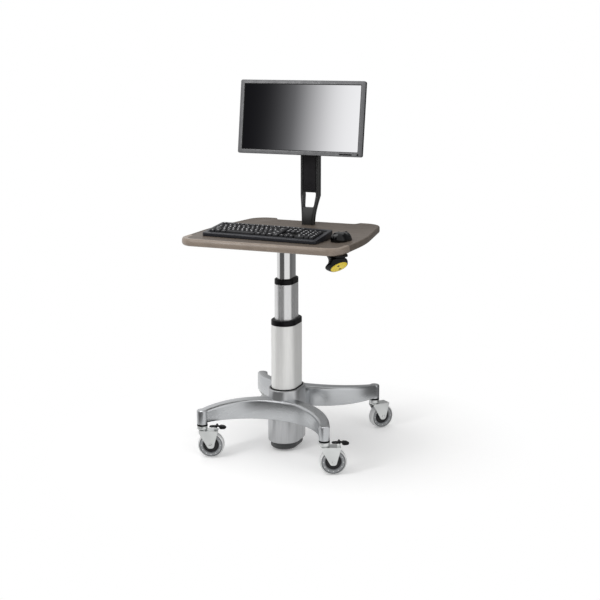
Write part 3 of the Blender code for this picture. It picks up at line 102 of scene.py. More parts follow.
class Cut(Enum):
    """What a carving step does with its tool."""

    REMOVE = "DIFFERENCE"
    JOIN = "UNION"
    KEEP = "INTERSECT"


class Corner(Enum):
    """The four casters, by the place that they have under the cart."""

    FRONT_LEFT = "fl"
    FRONT_RIGHT = "fr"
    REAR_LEFT = "rl"
    REAR_RIGHT = "rr"

    @property
    def braked(self) -> bool:
        """Only the front casters have a pedal."""
        return self in (Corner.FRONT_LEFT, Corner.FRONT_RIGHT)


# Outlines


def circle(radius: float, steps: int, phase: float = 0.0) -> Outline:
    """Points of a circle.

    Args:
        radius: the circle's radius.
        steps: how many points it has.
        phase: share of a step that the first point is turned by.

    Returns:
        The points, counter-clockwise.
    """
    angles = [2 * math.pi * (k + phase) / steps for k in range(steps)]
    return [(radius * math.cos(a), radius * math.sin(a)) for a in angles]


def obround(half_width: float, half_length: float, steps: int = 24) -> Outline:
    """An oval with straight sides along Y and a half circle at each end.

    Args:
        half_width: half the width along X.
        half_length: half the length along Y.
        steps: facets in each half circle.

    Returns:
        The points, counter-clockwise.
    """
    straight = half_length - half_width
    points: Outline = []
    for side in (1, -1):
        for k in range(steps + 1):
            angle = math.pi * k / steps
            across = side * half_width * math.cos(angle)
            points.append((across, side * (straight + half_width * math.sin(angle))))
    return points


def rounded(corners: Sequence[Point2], radii: Sequence[float], steps: int = 8, inset: float = 0.0) -> Outline:
    """A polygon with round corners.

    Args:
        corners: the polygon's corners, counter-clockwise.
        radii: a radius for each corner.
        steps: facets in each corner.
        inset: how far the whole outline moves in.

    Returns:
        The points, counter-clockwise.
    """
    points = [Vector(corner) for corner in corners]
    count = len(points)
    ways = [(points[(i + 1) % count] - points[i]).normalized() for i in range(count)]
    outline: Outline = []
    for i in range(count):
        before = ways[i - 1]
        after = ways[i]
        turn = math.atan2(before.cross(after), before.dot(after))
        side = 1 if turn > 0 else -1
        left_before = Vector((-before.y, before.x))
        left_after = Vector((-after.y, after.x))
        mitre = (left_before + left_after) / (1 + left_before.dot(left_after))
        radius = max(radii[i] - side * inset, 0.0)
        centre = points[i] + mitre * (inset + side * radius)
        for k in range(steps + 1):
            swung = left_before.copy()
            swung.rotate(Matrix.Rotation(turn * k / steps, 2))
            outline.append(tuple(centre - swung * side * radius))
    return outline


def rectangle(half_width: float, half_depth: float, corner: float, steps: int = 6) -> Outline:
    """A rectangle with round corners about the origin."""
    signs = ((-1, -1), (1, -1), (1, 1), (-1, 1))
    return rounded([(x * half_width, y * half_depth) for x, y in signs], [corner] * 4, steps)


def lift(outline: Iterable[Point2], height: float) -> Row:
    """A flat outline at a height."""
    return [Vector((x, y, height)) for x, y in outline]


def stand(outline: Iterable[Point2], depth: float) -> Row:
    """An outline of (x, z) points set upright at a depth along Y."""
    return [Vector((x, depth, z)) for x, z in outline]


def quarter(radius: float, steps: int) -> list[Point2]:
    """Inset and rise of the points of a rounded edge, from its side to its top."""
    angles = [math.pi / 2 * k / steps for k in range(steps + 1)]
    return [(radius * (1 - math.cos(a)), radius * math.sin(a)) for a in angles]


def lower_edge(height: float, radius: float, steps: int) -> list[Point2]:
    """Inset and height of the points of a rounded lower rim, from its face to its side."""
    return [(inset, height + radius - rise) for inset, rise in reversed(quarter(radius, steps))]


def upper_edge(height: float, radius: float, steps: int) -> list[Point2]:
    """Inset and height of the points of a rounded upper rim, from its side to its face."""
    return [(inset, height - radius + rise) for inset, rise in quarter(radius, steps)]


def box_corners(half: float, low: float, high: float) -> Outline:
    """Corners of a rectangle about the middle line, between two heights."""
    return [(-half, low), (half, low), (half, high), (-half, high)]


# Meshes


class Solid:
    """A mesh in the making, with a UV map in metres: U runs along a loft and V round it."""

    def __init__(self) -> None:
        """Start empty."""
        self.mesh = bmesh.new()
        self.uv = self.mesh.loops.layers.uv.new("UVMap")

    def loft(self, rows: Sequence[Row], ring: bool = False) -> "Solid":
        """Skin rows of equal length.

        Args:
            rows: the rows, each a closed loop of points.
            ring: True joins the last row to the first, and False caps both ends.

        Returns:
            This solid.
        """
        made = [[self.mesh.verts.new(point) for point in row] for row in rows]
        spans = len(made) if ring else len(made) - 1
        along = 0.0
        for i in range(spans):
            low = made[i]
            high = made[(i + 1) % len(made)]
            step = max((b.co - a.co).length for a, b in zip(low, high))
            around = 0.0
            for j in range(len(low)):
                k = (j + 1) % len(low)
                width = (low[k].co - low[j].co).length
                face = self.mesh.faces.new((low[j], low[k], high[k], high[j]))
                corners = ((0, 0), (0, 1), (1, 1), (1, 0))
                for loop, (u, v) in zip(face.loops, corners):
                    loop[self.uv].uv = (along + step * u, around + width * v)
                around += width
            along += step
        if not ring:
            self.mesh.faces.new(made[0][::-1])
            self.mesh.faces.new(made[-1])
        return self

    def turn(self, profile: Sequence[Point2], steps: int = 48, ring: bool = False) -> "Solid":
        """Add a solid of revolution about Z from (radius, height) points."""
        return self.loft([lift(circle(r, steps, 0.5), z) for r, z in profile], ring)

    def rod(self, radius: float, low: float, high: float, steps: int = 24) -> "Solid":
        """Add a plain cylinder along Z."""
        return self.turn([(radius, low), (radius, high)], steps)

    def slab(self, outline: Outline, low: float, high: float, edge: float = 0.0, steps: int = 3) -> "Solid":
        """Add an extruded outline whose rims shrink toward its middle.

        Args:
            outline: the outline at mid height.
            low: lower height.
            high: upper height.
            edge: how far both rims are rounded in.
            steps: facets of the rounding.

        Returns:
            This solid.
        """
        if edge <= 0:
            return self.loft([lift(outline, low), lift(outline, high)])
        marks = lower_edge(low, edge, steps) + upper_edge(high, edge, steps)
        return self.loft([lift(drawn_in(outline, inset), height) for inset, height in marks])

    def block(self, low: Sequence[float], high: Sequence[float]) -> "Solid":
        """Add a box between two corners."""
        outline = [(low[0], low[1]), (high[0], low[1]), (high[0], high[1]), (low[0], high[1])]
        return self.loft([lift(outline, low[2]), lift(outline, high[2])])

    def place(self, matrix: Matrix) -> "Solid":
        """Move the whole solid."""
        self.mesh.transform(matrix)
        return self

    def add(self, other: "Solid") -> "Solid":
        """Take in another solid's mesh, which is used up."""
        spare = other.to_mesh("spare")
        self.mesh.from_mesh(spare)
        bpy.data.meshes.remove(spare)
        return self

    def copy(self) -> "Solid":
        """A second solid of the same shape."""
        twin = Solid()
        twin.mesh.free()
        twin.mesh = self.mesh.copy()
        twin.uv = twin.mesh.loops.layers.uv["UVMap"]
        return twin

    def to_mesh(self, name: str) -> Mesh:
        """Hand the shape over as a mesh with its faces outward."""
        bmesh.ops.recalc_face_normals(self.mesh, faces=self.mesh.faces)
        mesh = bpy.data.meshes.new(name)
        self.mesh.to_mesh(mesh)
        self.mesh.free()
        return mesh

    @classmethod
    def from_mesh(cls, mesh: Mesh) -> "Solid":
        """A solid that takes a mesh over."""
        solid = cls()
        solid.mesh.free()
        solid.mesh = bmesh.new()
        solid.mesh.from_mesh(mesh)
        layers = solid.mesh.loops.layers.uv
        solid.uv = layers.get("UVMap") or layers.new("UVMap")
        bpy.data.meshes.remove(mesh)
        return solid


def drawn_in(outline: Outline, inset: float) -> Outline:
    """Move an outline's points in along their own normals."""
    count = len(outline)
    result: Outline = []
    for i in range(count):
        ahead = Vector(outline[(i + 1) % count])
        behind = Vector(outline[i - 1])
        way = (ahead - behind).normalized()
        result.append((outline[i][0] - way.y * inset, outline[i][1] + way.x * inset))
    return result


def new_object(name: str, data: bpy.types.ID) -> Thing:
    """An object of a mesh or another kind of data, linked to the scene."""
    made = bpy.data.objects.new(name, data)
    bpy.context.scene.collection.objects.link(made)
    return made


def discard(item: Thing) -> None:
    """Remove a helper and its mesh."""
    mesh = item.data
    bpy.data.objects.remove(item)
    if mesh is not None and mesh.users == 0:
        bpy.data.meshes.remove(mesh)


def evaluated_mesh(item: Thing) -> Mesh:
    """A plain mesh of an object as its modifiers leave it."""
    bpy.context.view_layer.update()
    graph = bpy.context.evaluated_depsgraph_get()
    return bpy.data.meshes.new_from_object(item.evaluated_get(graph))


def carve(solid: Solid, tool: Solid, cut: Cut = Cut.REMOVE) -> Solid:
    """Cut, join or intersect one solid with another.

    Args:
        solid: the shape that is worked on, which is used up.
        tool: the shape that works on it, which is used up.
        cut: what is done.

    Returns:
        The new solid.
    """
    work = new_object("carved", solid.to_mesh("carved"))
    knife = new_object("knife", tool.to_mesh("knife"))
    change = work.modifiers.new("carve", "BOOLEAN")
    change.operation = cut.value
    change.solver = "EXACT"
    change.object = knife
    result = Solid.from_mesh(evaluated_mesh(work))
    discard(work)
    discard(knife)
    return result


@dataclass(frozen=True)
class Seat:
    """Where a piece belongs: its body, its material slot and the frame nodes that it stands for."""

    body: str
    slot: str
    nodes: tuple[str, ...] = ()


def settle(name: str, mesh: Mesh, material: Material, seat: Seat,
           bevel: float = 0.0, sharp: float = SHARP) -> None:
    """Make a mesh a finished piece of the cart.

    Args:
        name: the piece's name.
        mesh: its mesh, in the frame's coordinates.
        material: its finish.
        seat: where it belongs.
        bevel: width of a live bevel on its sharp edges, or 0 for none.
        sharp: angle in degrees past which an edge stays crisp.
    """
    mesh.name = name
    mesh.shade_smooth()
    mesh.set_sharp_from_angle(angle=math.radians(sharp))
    mesh.materials.clear()
    mesh.materials.append(material)
    piece = bpy.data.objects.new(name, mesh)
    bpy.context.scene.collection.objects.link(piece)
    if bevel > 0:
        rounding = piece.modifiers.new("edges", "BEVEL")
        rounding.width = bevel
        rounding.segments = 2
        rounding.limit_method = "ANGLE"
        rounding.angle_limit = math.radians(sharp)
    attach(piece, seat.body)
    if seat.nodes:
        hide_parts(*seat.nodes)
    LOG.info("%s rides on %s", name, seat.body)


# Node trees

VECTOR = "NodeSocketVector"
FLOAT = "NodeSocketFloat"
INTEGER = "NodeSocketInt"
GEOMETRY = "NodeSocketGeometry"


class Net:
    """Writes nodes into a node tree."""

    def __init__(self, tree: Tree) -> None:
        """Take the tree that is written to."""
        self.tree = tree

    def feed(self, target: Socket, value: object) -> None:
        """Link a socket's value in, or set it."""
        if isinstance(value, bpy.types.NodeSocket):
            self.tree.links.new(value, target)
        elif isinstance(value, tuple) and target.type == "RGBA":
            target.default_value = (*value, 1.0)
        else:
            target.default_value = value

    def fill(self, node: Node, inputs: Inputs) -> None:
        """Feed a node's inputs by name or number."""
        for slot, value in inputs.items():
            self.feed(node.inputs[slot], value)

    def node(self, kind: str, inputs: Inputs | None = None, **fields: object) -> Node:
        """Add a node.

        Args:
            kind: the node's type.
            inputs: what its inputs are fed with, by name or number.
            fields: its other settings.

        Returns:
            The node.
        """
        made = self.tree.nodes.new(kind)
        for label, value in fields.items():
            setattr(made, label, value)
        self.fill(made, inputs or {})
        return made

    def math(self, operation: str, first: object, second: object) -> Socket:
        """Two values combined by the given math operation."""
        return self.node("ShaderNodeMath", {0: first, 1: second}, operation=operation).outputs["Value"]

    def vector(self, **parts: object) -> Socket:
        """A vector from its X, Y and Z."""
        return self.node("ShaderNodeCombineXYZ", parts).outputs["Vector"]

    def where(self, source: str = "Object") -> Socket:
        """The piece's own coordinates."""
        return self.node("ShaderNodeTexCoord").outputs[source]

    def split(self, vector: Socket) -> Sockets:
        """The X, Y and Z of a vector, by name."""
        return self.node("ShaderNodeSeparateXYZ", {"Vector": vector}).outputs

    def remap(self, value: Socket, low: float, high: float, to_low: float = 0.0,
              to_high: float = 1.0) -> Socket:
        """Move a value from one range to another and clamp it there."""
        ends = {"Value": value, "From Min": low, "From Max": high, "To Min": to_low, "To Max": to_high}
        return self.node("ShaderNodeMapRange", ends).outputs["Result"]

    def mix(self, share: Socket, first: Colour | Socket, second: Colour | Socket) -> Socket:
        """Mix two colours."""
        made = self.node("ShaderNodeMix", {"Factor": share}, data_type="RGBA")
        slots = [slot for slot in made.inputs if slot.type == "RGBA"]
        for slot, colour in zip(slots, (first, second)):
            self.feed(slot, colour)
        return [slot for slot in made.outputs if slot.type == "RGBA"][0]

    def ramp(self, value: Socket, stops: Sequence[tuple[float, Colour]], kind: str = "B_SPLINE") -> Socket:
        """A colour ramp through (place, colour) stops, the first at 0 and the last at 1."""
        made = self.node("ShaderNodeValToRGB", {"Fac": value})
        band = made.color_ramp
        band.interpolation = kind
        band.elements[0].color = (*stops[0][1], 1.0)
        band.elements[1].color = (*stops[-1][1], 1.0)
        for place, colour in stops[1:-1]:
            band.elements.new(place).color = (*colour, 1.0)
        return made.outputs["Color"]

    def noise(self, vector: Socket, scale: Socket | float, detail: float) -> Socket:
        """A noise texture's value."""
        inputs = {"Vector": vector, "Scale": scale, "Detail": detail}
        return self.node("ShaderNodeTexNoise", inputs).outputs["Fac"]

    def mapped(self, vector: Socket, scale: Point3 = (1.0,) * 3, centre: Point3 = (0.0,) * 3) -> Socket:
        """Coordinates about a centre, stretched."""
        inputs = {"Vector": vector, "Location": centre, "Scale": tuple(1 / value for value in scale)}
        return self.node("ShaderNodeMapping", inputs, vector_type="TEXTURE").outputs["Vector"]

    def use(self, group: Tree, **inputs: object) -> Sockets:
        """Add a node group, feed its inputs by name and give its outputs."""
        return self.node("ShaderNodeGroup", inputs, node_tree=group).outputs


# Geometry Nodes for what repeats


class Repeat(Net):
    """A Geometry Nodes tree that sets copies of a shape on points, with named inputs."""

    def __init__(self, name: str, sizes: dict[str, str]) -> None:
        """Start a tree.

        Args:
            name: the tree's name.
            sizes: names and socket types of the inputs of its own.
        """
        super().__init__(bpy.data.node_groups.new(name, "GeometryNodeTree"))
        self.keys: dict[str, str] = {}
        sockets = self.tree.interface
        sockets.new_socket("Geometry", in_out="INPUT", socket_type=GEOMETRY)
        shared = {"shape": "NodeSocketObject", "finish": "NodeSocketMaterial"}
        for label, kind in {**sizes, **shared}.items():
            self.keys[label] = sockets.new_socket(label, in_out="INPUT", socket_type=kind).identifier
        sockets.new_socket("Geometry", in_out="OUTPUT", socket_type=GEOMETRY)
        self.start = self.node("NodeGroupInput").outputs

    def close(self, points: Socket, turn: Socket) -> "Repeat":
        """End the tree: set the shape on the points, make the copies real and give them their finish.

        Args:
            points: geometry whose points carry the copies.
            turn: each copy's turn as Euler angles.

        Returns:
            This tree.
        """
        source = self.node("GeometryNodeObjectInfo", {"Object": self.start["shape"]}).outputs["Geometry"]
        euler = self.node("FunctionNodeEulerToRotation", {"Euler": turn}).outputs["Rotation"]
        inputs = {"Points": points, "Instance": source, "Rotation": euler}
        copies = self.node("GeometryNodeInstanceOnPoints", inputs).outputs["Instances"]
        real = self.node("GeometryNodeRealizeInstances", {"Geometry": copies}).outputs["Geometry"]
        coat = self.node("GeometryNodeSetMaterial", {"Geometry": real, "Material": self.start["finish"]})
        self.node("NodeGroupOutput", {"Geometry": coat.outputs["Geometry"]})
        return self

    def grow(self, shape: Solid, finish: Material, points: Sequence[Vector] = (),
             **sizes: float | Point3) -> Mesh:
        """Run the tree.

        Args:
            shape: what is copied, which is used up.
            finish: the copies' material.
            points: the host's points, for a tree that uses them.
            sizes: the tree's own inputs by name.

        Returns:
            A plain mesh of all the copies.
        """
        pattern = new_object("shape", shape.to_mesh("shape"))
        dots = bpy.data.meshes.new("points")
        dots.from_pydata([tuple(point) for point in points], [], [])
        host = new_object("points", dots)
        change = host.modifiers.new("repeat", "NODES")
        change.node_group = self.tree
        for label, value in {"shape": pattern, "finish": finish, **sizes}.items():
            change[self.keys[label]] = value
        mesh = evaluated_mesh(host)
        host.modifiers.remove(change)
        discard(host)
        discard(pattern)
        return mesh


def row_tree() -> Repeat:
    """Copies in a straight row."""
    tree = Repeat("Row of shapes", {"count": INTEGER, "start": VECTOR, "step": VECTOR})
    names = {"Count": "count", "Start Location": "start", "Offset": "step"}
    inputs = {label: tree.start[given] for label, given in names.items()}
    line = tree.node("GeometryNodeMeshLine", inputs, mode="OFFSET")
    return tree.close(line.outputs["Mesh"], tree.vector())


def ring_tree() -> Repeat:
    """Copies round a circle about Z, each turned so that its X faces out."""
    tree = Repeat("Ring of shapes", {"count": INTEGER, "radius": FLOAT})
    inputs = {"Vertices": tree.start["count"], "Radius": tree.start["radius"]}
    ring = tree.node("GeometryNodeMeshCircle", inputs)
    share = tree.math("DIVIDE", 2 * math.pi, tree.start["count"])
    angle = tree.math("MULTIPLY", tree.node("GeometryNodeInputIndex").outputs["Index"], share)
    return tree.close(ring.outputs["Mesh"], tree.vector(Z=angle))


def points_tree() -> Repeat:
    """Copies on the host's own points, each tilted a little at random from a fixed seed."""
    tree = Repeat("Shapes on points", {"tilt": FLOAT, "seed": INTEGER})
    chance = tree.node("FunctionNodeRandomValue", {"Seed": tree.start["seed"]}, data_type="FLOAT")
    ends = [slot for slot in chance.inputs if slot.enabled and slot.name in ("Min", "Max")]
    for slot, value in zip(ends, (-1.0, 1.0)):
        slot.default_value = value
    drawn = [slot for slot in chance.outputs if slot.enabled][0]
    angle = tree.math("MULTIPLY", drawn, tree.start["tilt"])
    return tree.close(tree.start["Geometry"], tree.vector(X=angle, Y=angle))


class Trees:
    """The cart's Geometry Nodes trees, made once."""

    def __init__(self) -> None:
        """Build all of them."""
        self.row = row_tree()
        self.ring = ring_tree()
        self.dots = points_tree()


# Finishes

TONE_BAND = (0.35, 0.65)
PATCH_BAND = (0.48, 0.72)
SLOW_SHARE = 0.02
BROAD_SHARE = 0.12
FINE_WEIGHT = 0.6
BROAD_WEIGHT = 0.4


def srgb(red: int, green: int, blue: int) -> Colour:
    """Linear values of a display colour given in steps of 0 to 255."""
    shares = [value / 255 for value in (red, green, blue)]
    return tuple(s / 12.92 if s <= 0.04045 else ((s + 0.055) / 1.055) ** 2.4 for s in shares)


def open_group(name: str, values: Sequence[str],
               results: Sequence[str]) -> tuple[Net, Sockets]:
    """Start a shader node group on a piece's coordinates.

    Args:
        name: the group's name.
        values: names of the numbers that it takes besides its Vector.
        results: names of the numbers that it gives.

    Returns:
        The group's net and what comes in, by name.
    """
    net = Net(bpy.data.node_groups.new(name, "ShaderNodeTree"))
    sockets = net.tree.interface
    sockets.new_socket("Vector", in_out="INPUT", socket_type=VECTOR)
    for way, labels in (("INPUT", values), ("OUTPUT", results)):
        for label in labels:
            sockets.new_socket(label, in_out=way, socket_type=FLOAT)
    return net, net.node("NodeGroupInput").outputs


def grain_group() -> Tree:
    """Fine moulded grain: a height for the bump and a slow drift of tone."""
    net, given = open_group("Moulded grain", ("Scale",), ("Height", "Tone"))
    fine = net.noise(given["Vector"], given["Scale"], detail=2.0)
    slow = net.noise(given["Vector"], net.math("MULTIPLY", given["Scale"], SLOW_SHARE), detail=3.0)
    net.node("NodeGroupOutput", {"Height": fine, "Tone": net.remap(slow, *TONE_BAND)})
    return net.tree


def brush_group() -> Tree:
    """Brush lines: a height and a tone from noise on coordinates that were stretched beforehand."""
    net, given = open_group("Brush lines", ("Scale",), ("Height", "Tone"))
    fine = net.noise(given["Vector"], given["Scale"], detail=3.0)
    broad = net.noise(given["Vector"], net.math("MULTIPLY", given["Scale"], BROAD_SHARE), detail=2.0)
    weighed = [net.math("MULTIPLY", fine, FINE_WEIGHT), net.math("MULTIPLY", broad, BROAD_WEIGHT)]
    tone = net.remap(net.math("ADD", *weighed), *TONE_BAND)
    net.node("NodeGroupOutput", {"Height": fine, "Tone": tone})
    return net.tree


def handling_group() -> Tree:
    """Faint marks of handling: a mask of soft patches."""
    net, given = open_group("Handling marks", ("Scale", "Amount"), ("Mask",))
    soft = net.remap(net.noise(given["Vector"], given["Scale"], detail=5.0), *PATCH_BAND)
    net.node("NodeGroupOutput", {"Mask": net.math("MULTIPLY", soft, given["Amount"])})
    return net.tree


class Effects:
    """The shader node groups that the finishes share."""

    def __init__(self) -> None:
        """Build all of them."""
        self.grain = grain_group()
        self.brush = brush_group()
        self.handling = handling_group()


@dataclass(frozen=True)
class Finish:
    """What every finish has: two display colours that its pattern mixes, and how it shines."""

    name: str
    colour: Tint
    shade: Tint
    roughness: tuple[float, float]
    metallic: float = 0.0
    specular: float = 0.5
    relief: float = 0.1
    depth: float = 0.0002
    scale: float = 900.0
    marks: float = 0.0
    mark_scale: float = 14.0

    def pattern(self, net: Net, effects: Effects) -> Sockets:
        """The effect that gives the finish its height and tone."""
        raise NotImplementedError

    def build(self, effects: Effects) -> Material:
        """Make the material.

        Args:
            effects: the shared node groups.

        Returns:
            The finished material.
        """
        material = bpy.data.materials.new(self.name)
        material.use_nodes = True
        colour = srgb(*self.colour)
        material.diffuse_color = (*colour, 1.0)
        net = Net(material.node_tree)
        pattern = self.pattern(net, effects)
        shine = net.remap(pattern["Tone"], 0.0, 1.0, *self.roughness)
        if self.marks > 0:
            patches = net.use(effects.handling, Vector=net.where(), Scale=self.mark_scale, Amount=self.marks)
            shine = net.math("ADD", shine, patches["Mask"])
        relief = {"Strength": self.relief, "Distance": self.depth, "Height": pattern["Height"]}
        net.fill(material.node_tree.nodes["Principled BSDF"], {
            "Base Color": net.mix(pattern["Tone"], colour, srgb(*self.shade)),
            "Metallic": self.metallic,
            "Specular IOR Level": self.specular,
            "Roughness": shine,
            "Normal": net.node("ShaderNodeBump", relief).outputs["Normal"],
        })
        return material


@dataclass(frozen=True)
class Moulded(Finish):
    """Plastic, rubber or paint with a fine even grain."""

    def pattern(self, net: Net, effects: Effects) -> Sockets:
        """Grain on the piece's own coordinates."""
        return net.use(effects.grain, Vector=net.where(), Scale=self.scale)


@dataclass(frozen=True)
class Brushed(Finish):
    """Metal or board with fine lines along one axis."""

    axis: Axis = Axis.Z
    stretch: float = 40.0

    def pattern(self, net: Net, effects: Effects) -> Sockets:
        """Lines on coordinates that are short across the axis and long along it."""
        source = "UV" if self.axis is Axis.UV else "Object"
        along = 0 if self.axis is Axis.UV else self.axis.value
        factors = [1.0, 1.0, 1.0]
        factors[along] = 1 / self.stretch
        where = net.mapped(net.where(source), tuple(factors))
        return net.use(effects.brush, Vector=where, Scale=self.scale)


@dataclass(frozen=True)
class PaintedReflectionScreen(Moulded):
    """The screen: a dark sheet glowing in a grey gradient from left to right, a painted soft-box reflection.
    """

    centre: Point3 = (0.0, 0.0, 0.0)
    width: float = 0.5
    slant: float = 0.0
    stops: tuple[tuple[float, int], ...] = ()
    blue: int = 2
    glow: float = 1.0

    def build(self, effects: Effects) -> Material:
        """Make the material; see Finish.build."""
        material = super().build(effects)
        net = Net(material.node_tree)
        parts = net.split(net.mapped(net.where(), (1 / self.width,) * 3, self.centre))
        leaning = net.math("MULTIPLY", parts["Z"], self.slant)
        across = net.math("ADD", net.math("ADD", parts["X"], 0.5), leaning)
        stops = [(place, srgb(level, level, level + self.blue)) for place, level in self.stops]
        shader = material.node_tree.nodes["Principled BSDF"]
        # The grey ramp glows as a painted reflection of a soft box; the screen is no lamp.
        net.fill(shader, {"Emission Color": net.ramp(across, stops), "Emission Strength": self.glow})
        return material


class Palette:
    """Every finish of the cart, made once."""

    def __init__(self, screen_centre: Vector) -> None:
        """Build the finishes.

        Args:
            screen_centre: middle of the screen, where its painted reflection is centred.
        """
        effects = Effects()
        finishes: dict[str, Finish] = {
            "rail": Brushed("cast aluminium", (190, 192, 194), (184, 186, 188), (0.27, 0.29), metallic=1.0,
                            relief=0.0, axis=Axis.UV, scale=700.0),
            "hub": Brushed("brushed hub", (190, 191, 192), (174, 175, 177), (0.28, 0.36), metallic=1.0,
                           relief=0.04, scale=500.0),
            "outer": Brushed("satin tube", (238, 238, 236), (228, 228, 226), (0.38, 0.46), metallic=0.40,
                             relief=0.05, scale=600.0),
            "polished": Brushed("polished tube", (226, 226, 226), (214, 214, 215), (0.10, 0.17), metallic=1.0,
                                relief=0.04, scale=600.0),
            "middle": Brushed("half polished tube", (226, 226, 226), (214, 214, 215), (0.22, 0.28),
                              metallic=0.75, relief=0.04, scale=600.0),
            "zinc": Moulded("zinc plate", (218, 220, 219), (202, 204, 203), (0.26, 0.34), metallic=0.85,
                            scale=500.0),
            "steel": Moulded("steel", (196, 196, 198), (178, 178, 180), (0.22, 0.32), metallic=1.0,
                             scale=700.0),
            "seal": Moulded("seal rubber", (20, 20, 20), (14, 14, 14), (0.6, 0.75), specular=0.2,
                            scale=1500.0),
            "core": Moulded("wheel core", (150, 152, 154), (134, 136, 138), (0.4, 0.5), scale=1200.0),
            # A black ring over the wheel's dish: painted shade of the hub recess under the fork.
            "dark_core": Moulded("black ring of painted hub shade", (30, 30, 32), (24, 24, 26), (0.4, 0.5), specular=0.3,
                                 scale=1200.0),
            "tread": Moulded("grey tread", (226, 227, 227), (212, 213, 213), (0.5, 0.62), relief=0.2),
            "plastic": Moulded("black plastic", (11, 11, 13), (7, 7, 9), (0.34, 0.44), specular=0.15,
                               scale=1600.0, relief=0.2),
            "panel": Moulded("grey panel", (38, 36, 39), (32, 30, 33), (0.44, 0.54), specular=0.15,
                             scale=1600.0, relief=0.25),
            "mouse": Moulded("mouse gloss", (5, 5, 6), (3, 3, 4), (0.07, 0.11), specular=0.3, scale=300.0,
                             relief=0.01),
            "foot": Moulded("grey foot cover", (76, 77, 78), (68, 69, 70), (0.4, 0.5), specular=0.3,
                            scale=1200.0),
            "gloss": Moulded("black gloss", (5, 5, 6), (3, 3, 4), (0.14, 0.22), specular=0.18, scale=300.0,
                             relief=0.02, marks=0.06),
            "keys": Moulded("key plastic", (27, 27, 30), (21, 21, 24), (0.42, 0.52), specular=0.25,
                            scale=1800.0, relief=0.3),
            "case": Moulded("keyboard case", (34, 35, 41), (28, 29, 34), (0.3, 0.4), specular=0.3,
                            scale=1600.0, relief=0.2),
            "legend": Moulded("white legends", (244, 244, 245), (236, 236, 238), (0.5, 0.6), scale=1500.0),
            "board": Brushed("taupe board", (99, 89, 80), (86, 77, 69), (0.36, 0.46), axis=Axis.X,
                             specular=0.35, scale=240.0, stretch=14.0, relief=0.05, marks=0.05),
            # Real edge trim, its taupe lightened as a painted highlight of the lit front edge.
            "bumper": Moulded("taupe edge strip lightened for painted highlight", (140, 127, 115), (133, 120, 109), (0.30, 0.38),
                              specular=0.45, scale=1100.0, relief=0.12),
            "yellow": Moulded("yellow plastic", (238, 212, 38), (232, 204, 30), (0.3, 0.4)),
            "mark": Moulded("brown print", (62, 44, 18), (54, 38, 16), (0.45, 0.55)),
            "bezel": Moulded("graphite bezel", (96, 96, 98), (88, 88, 90), (0.32, 0.42), scale=1700.0,
                             relief=0.12),
            "paint": Moulded("black paint", (22, 22, 22), (18, 18, 18), (0.25, 0.35), scale=400.0),
            "lamp": Moulded("pilot lamp", (70, 170, 90), (60, 150, 80), (0.2, 0.3)),
            # The screen's glowing grey gradient is a painted reflection of a soft box.
            "screen": PaintedReflectionScreen("screen with painted reflection", (4, 4, 5), (3, 3, 4), (0.36, 0.42), specular=0.0, relief=0.02,
                              centre=tuple(screen_centre), width=0.479, slant=-0.06,
                              stops=((0.0, 18), (0.14, 24), (0.28, 48), (0.43, 92), (0.54, 140),
                                     (0.66, 186), (0.77, 216), (0.88, 232), (1.0, 238))),
        }
        self.made = {label: finish.build(effects) for label, finish in finishes.items()}

    def __getitem__(self, label: str) -> Material:
        """A finish by its short name."""
        return self.made[label]


# The frame and what the sub-assemblies share


class Frame:
    """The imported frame: its joints by name, and the two upright axes that the pieces are set about."""

    def __init__(self, loaded: dict) -> None:
        """Read the frame.
        """
        self.nodes: dict[str, Thing] = loaded["nodes"]
        self.joints: dict[str, dict] = {joint["name"]: joint for joint in loaded["joints"]}
        self.column = self.middle("outer_tube")
        swivels = [self.at(f"caster_{corner.value}_swivel") for corner in Corner]
        self.base = sum(swivels, Vector()) / len(swivels)
        self.base.z = 0.0

    def at(self, joint: str) -> Vector:
        """Where a joint is."""
        return Vector(self.joints[joint]["pos_m"])

    def middle(self, node: str) -> Vector:
        """The middle of a node's box, on the floor."""
        low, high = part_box(node)
        return Vector(((low.x + high.x) / 2, (low.y + high.y) / 2, 0.0))


@dataclass(frozen=True)
class Kit:
    """What every sub-assembly is built with."""

    frame: Frame
    palette: Palette
    trees: Trees

    def make(self, name: str, solid: Solid, finish: str, seat: Seat, bevel: float = 0.0,
             sharp: float = SHARP) -> None:
        """Make a solid a finished piece of the cart; see settle for the arguments."""
        settle(name, solid.to_mesh(name), self.palette[finish], seat, bevel, sharp)

    def repeat(self, name: str, tree: Repeat, shape: Solid, finish: str, seat: Seat, place: Matrix,
               **sizes: object) -> None:
        """Make copies of a shape one finished piece of the cart.

        Args:
            name: the piece's name.
            tree: what sets the copies.
            shape: what is copied, which is used up.
            finish: the finish's short name.
            seat: where the piece belongs.
            place: where the tree's own coordinates are.
            sizes: what Repeat.grow takes.
        """
        mesh = tree.grow(shape, self.palette[finish], **sizes)
        mesh.transform(place)
        settle(name, mesh, self.palette[finish], seat)


def shift(vector: Vector | Sequence[float]) -> Matrix:
    """A move."""
    return Matrix.Translation(vector)


def spin(degrees: float, axis: str) -> Matrix:
    """A turn about X, Y or Z."""
    return Matrix.Rotation(math.radians(degrees), 4, axis)


TO_Y = spin(-90, "X")
TO_X = spin(90, "Y")


def arc(centre: Point2, radius: float, start: float, end: float, steps: int) -> list[Point2]:
    """Points of an arc between two angles in degrees."""
    angles = [math.radians(start + (end - start) * k / steps) for k in range(steps + 1)]
    return [(centre[0] + radius * math.cos(a), centre[1] + radius * math.sin(a)) for a in angles]


def ease(share: float) -> float:
    """A smooth step from 0 to 1."""
    return share * share * (3 - 2 * share)


def screw_head(radius: float, height: float) -> Solid:
    """A small round screw head with a round socket, standing on z = 0."""
    socket = radius * 0.5
    profile = [(radius, 0.0), (radius, height * 0.6), (radius * 0.85, height)]
    profile += [(socket, height), (socket, height * 0.4)]
    return Solid().turn(profile, 18)


# Base


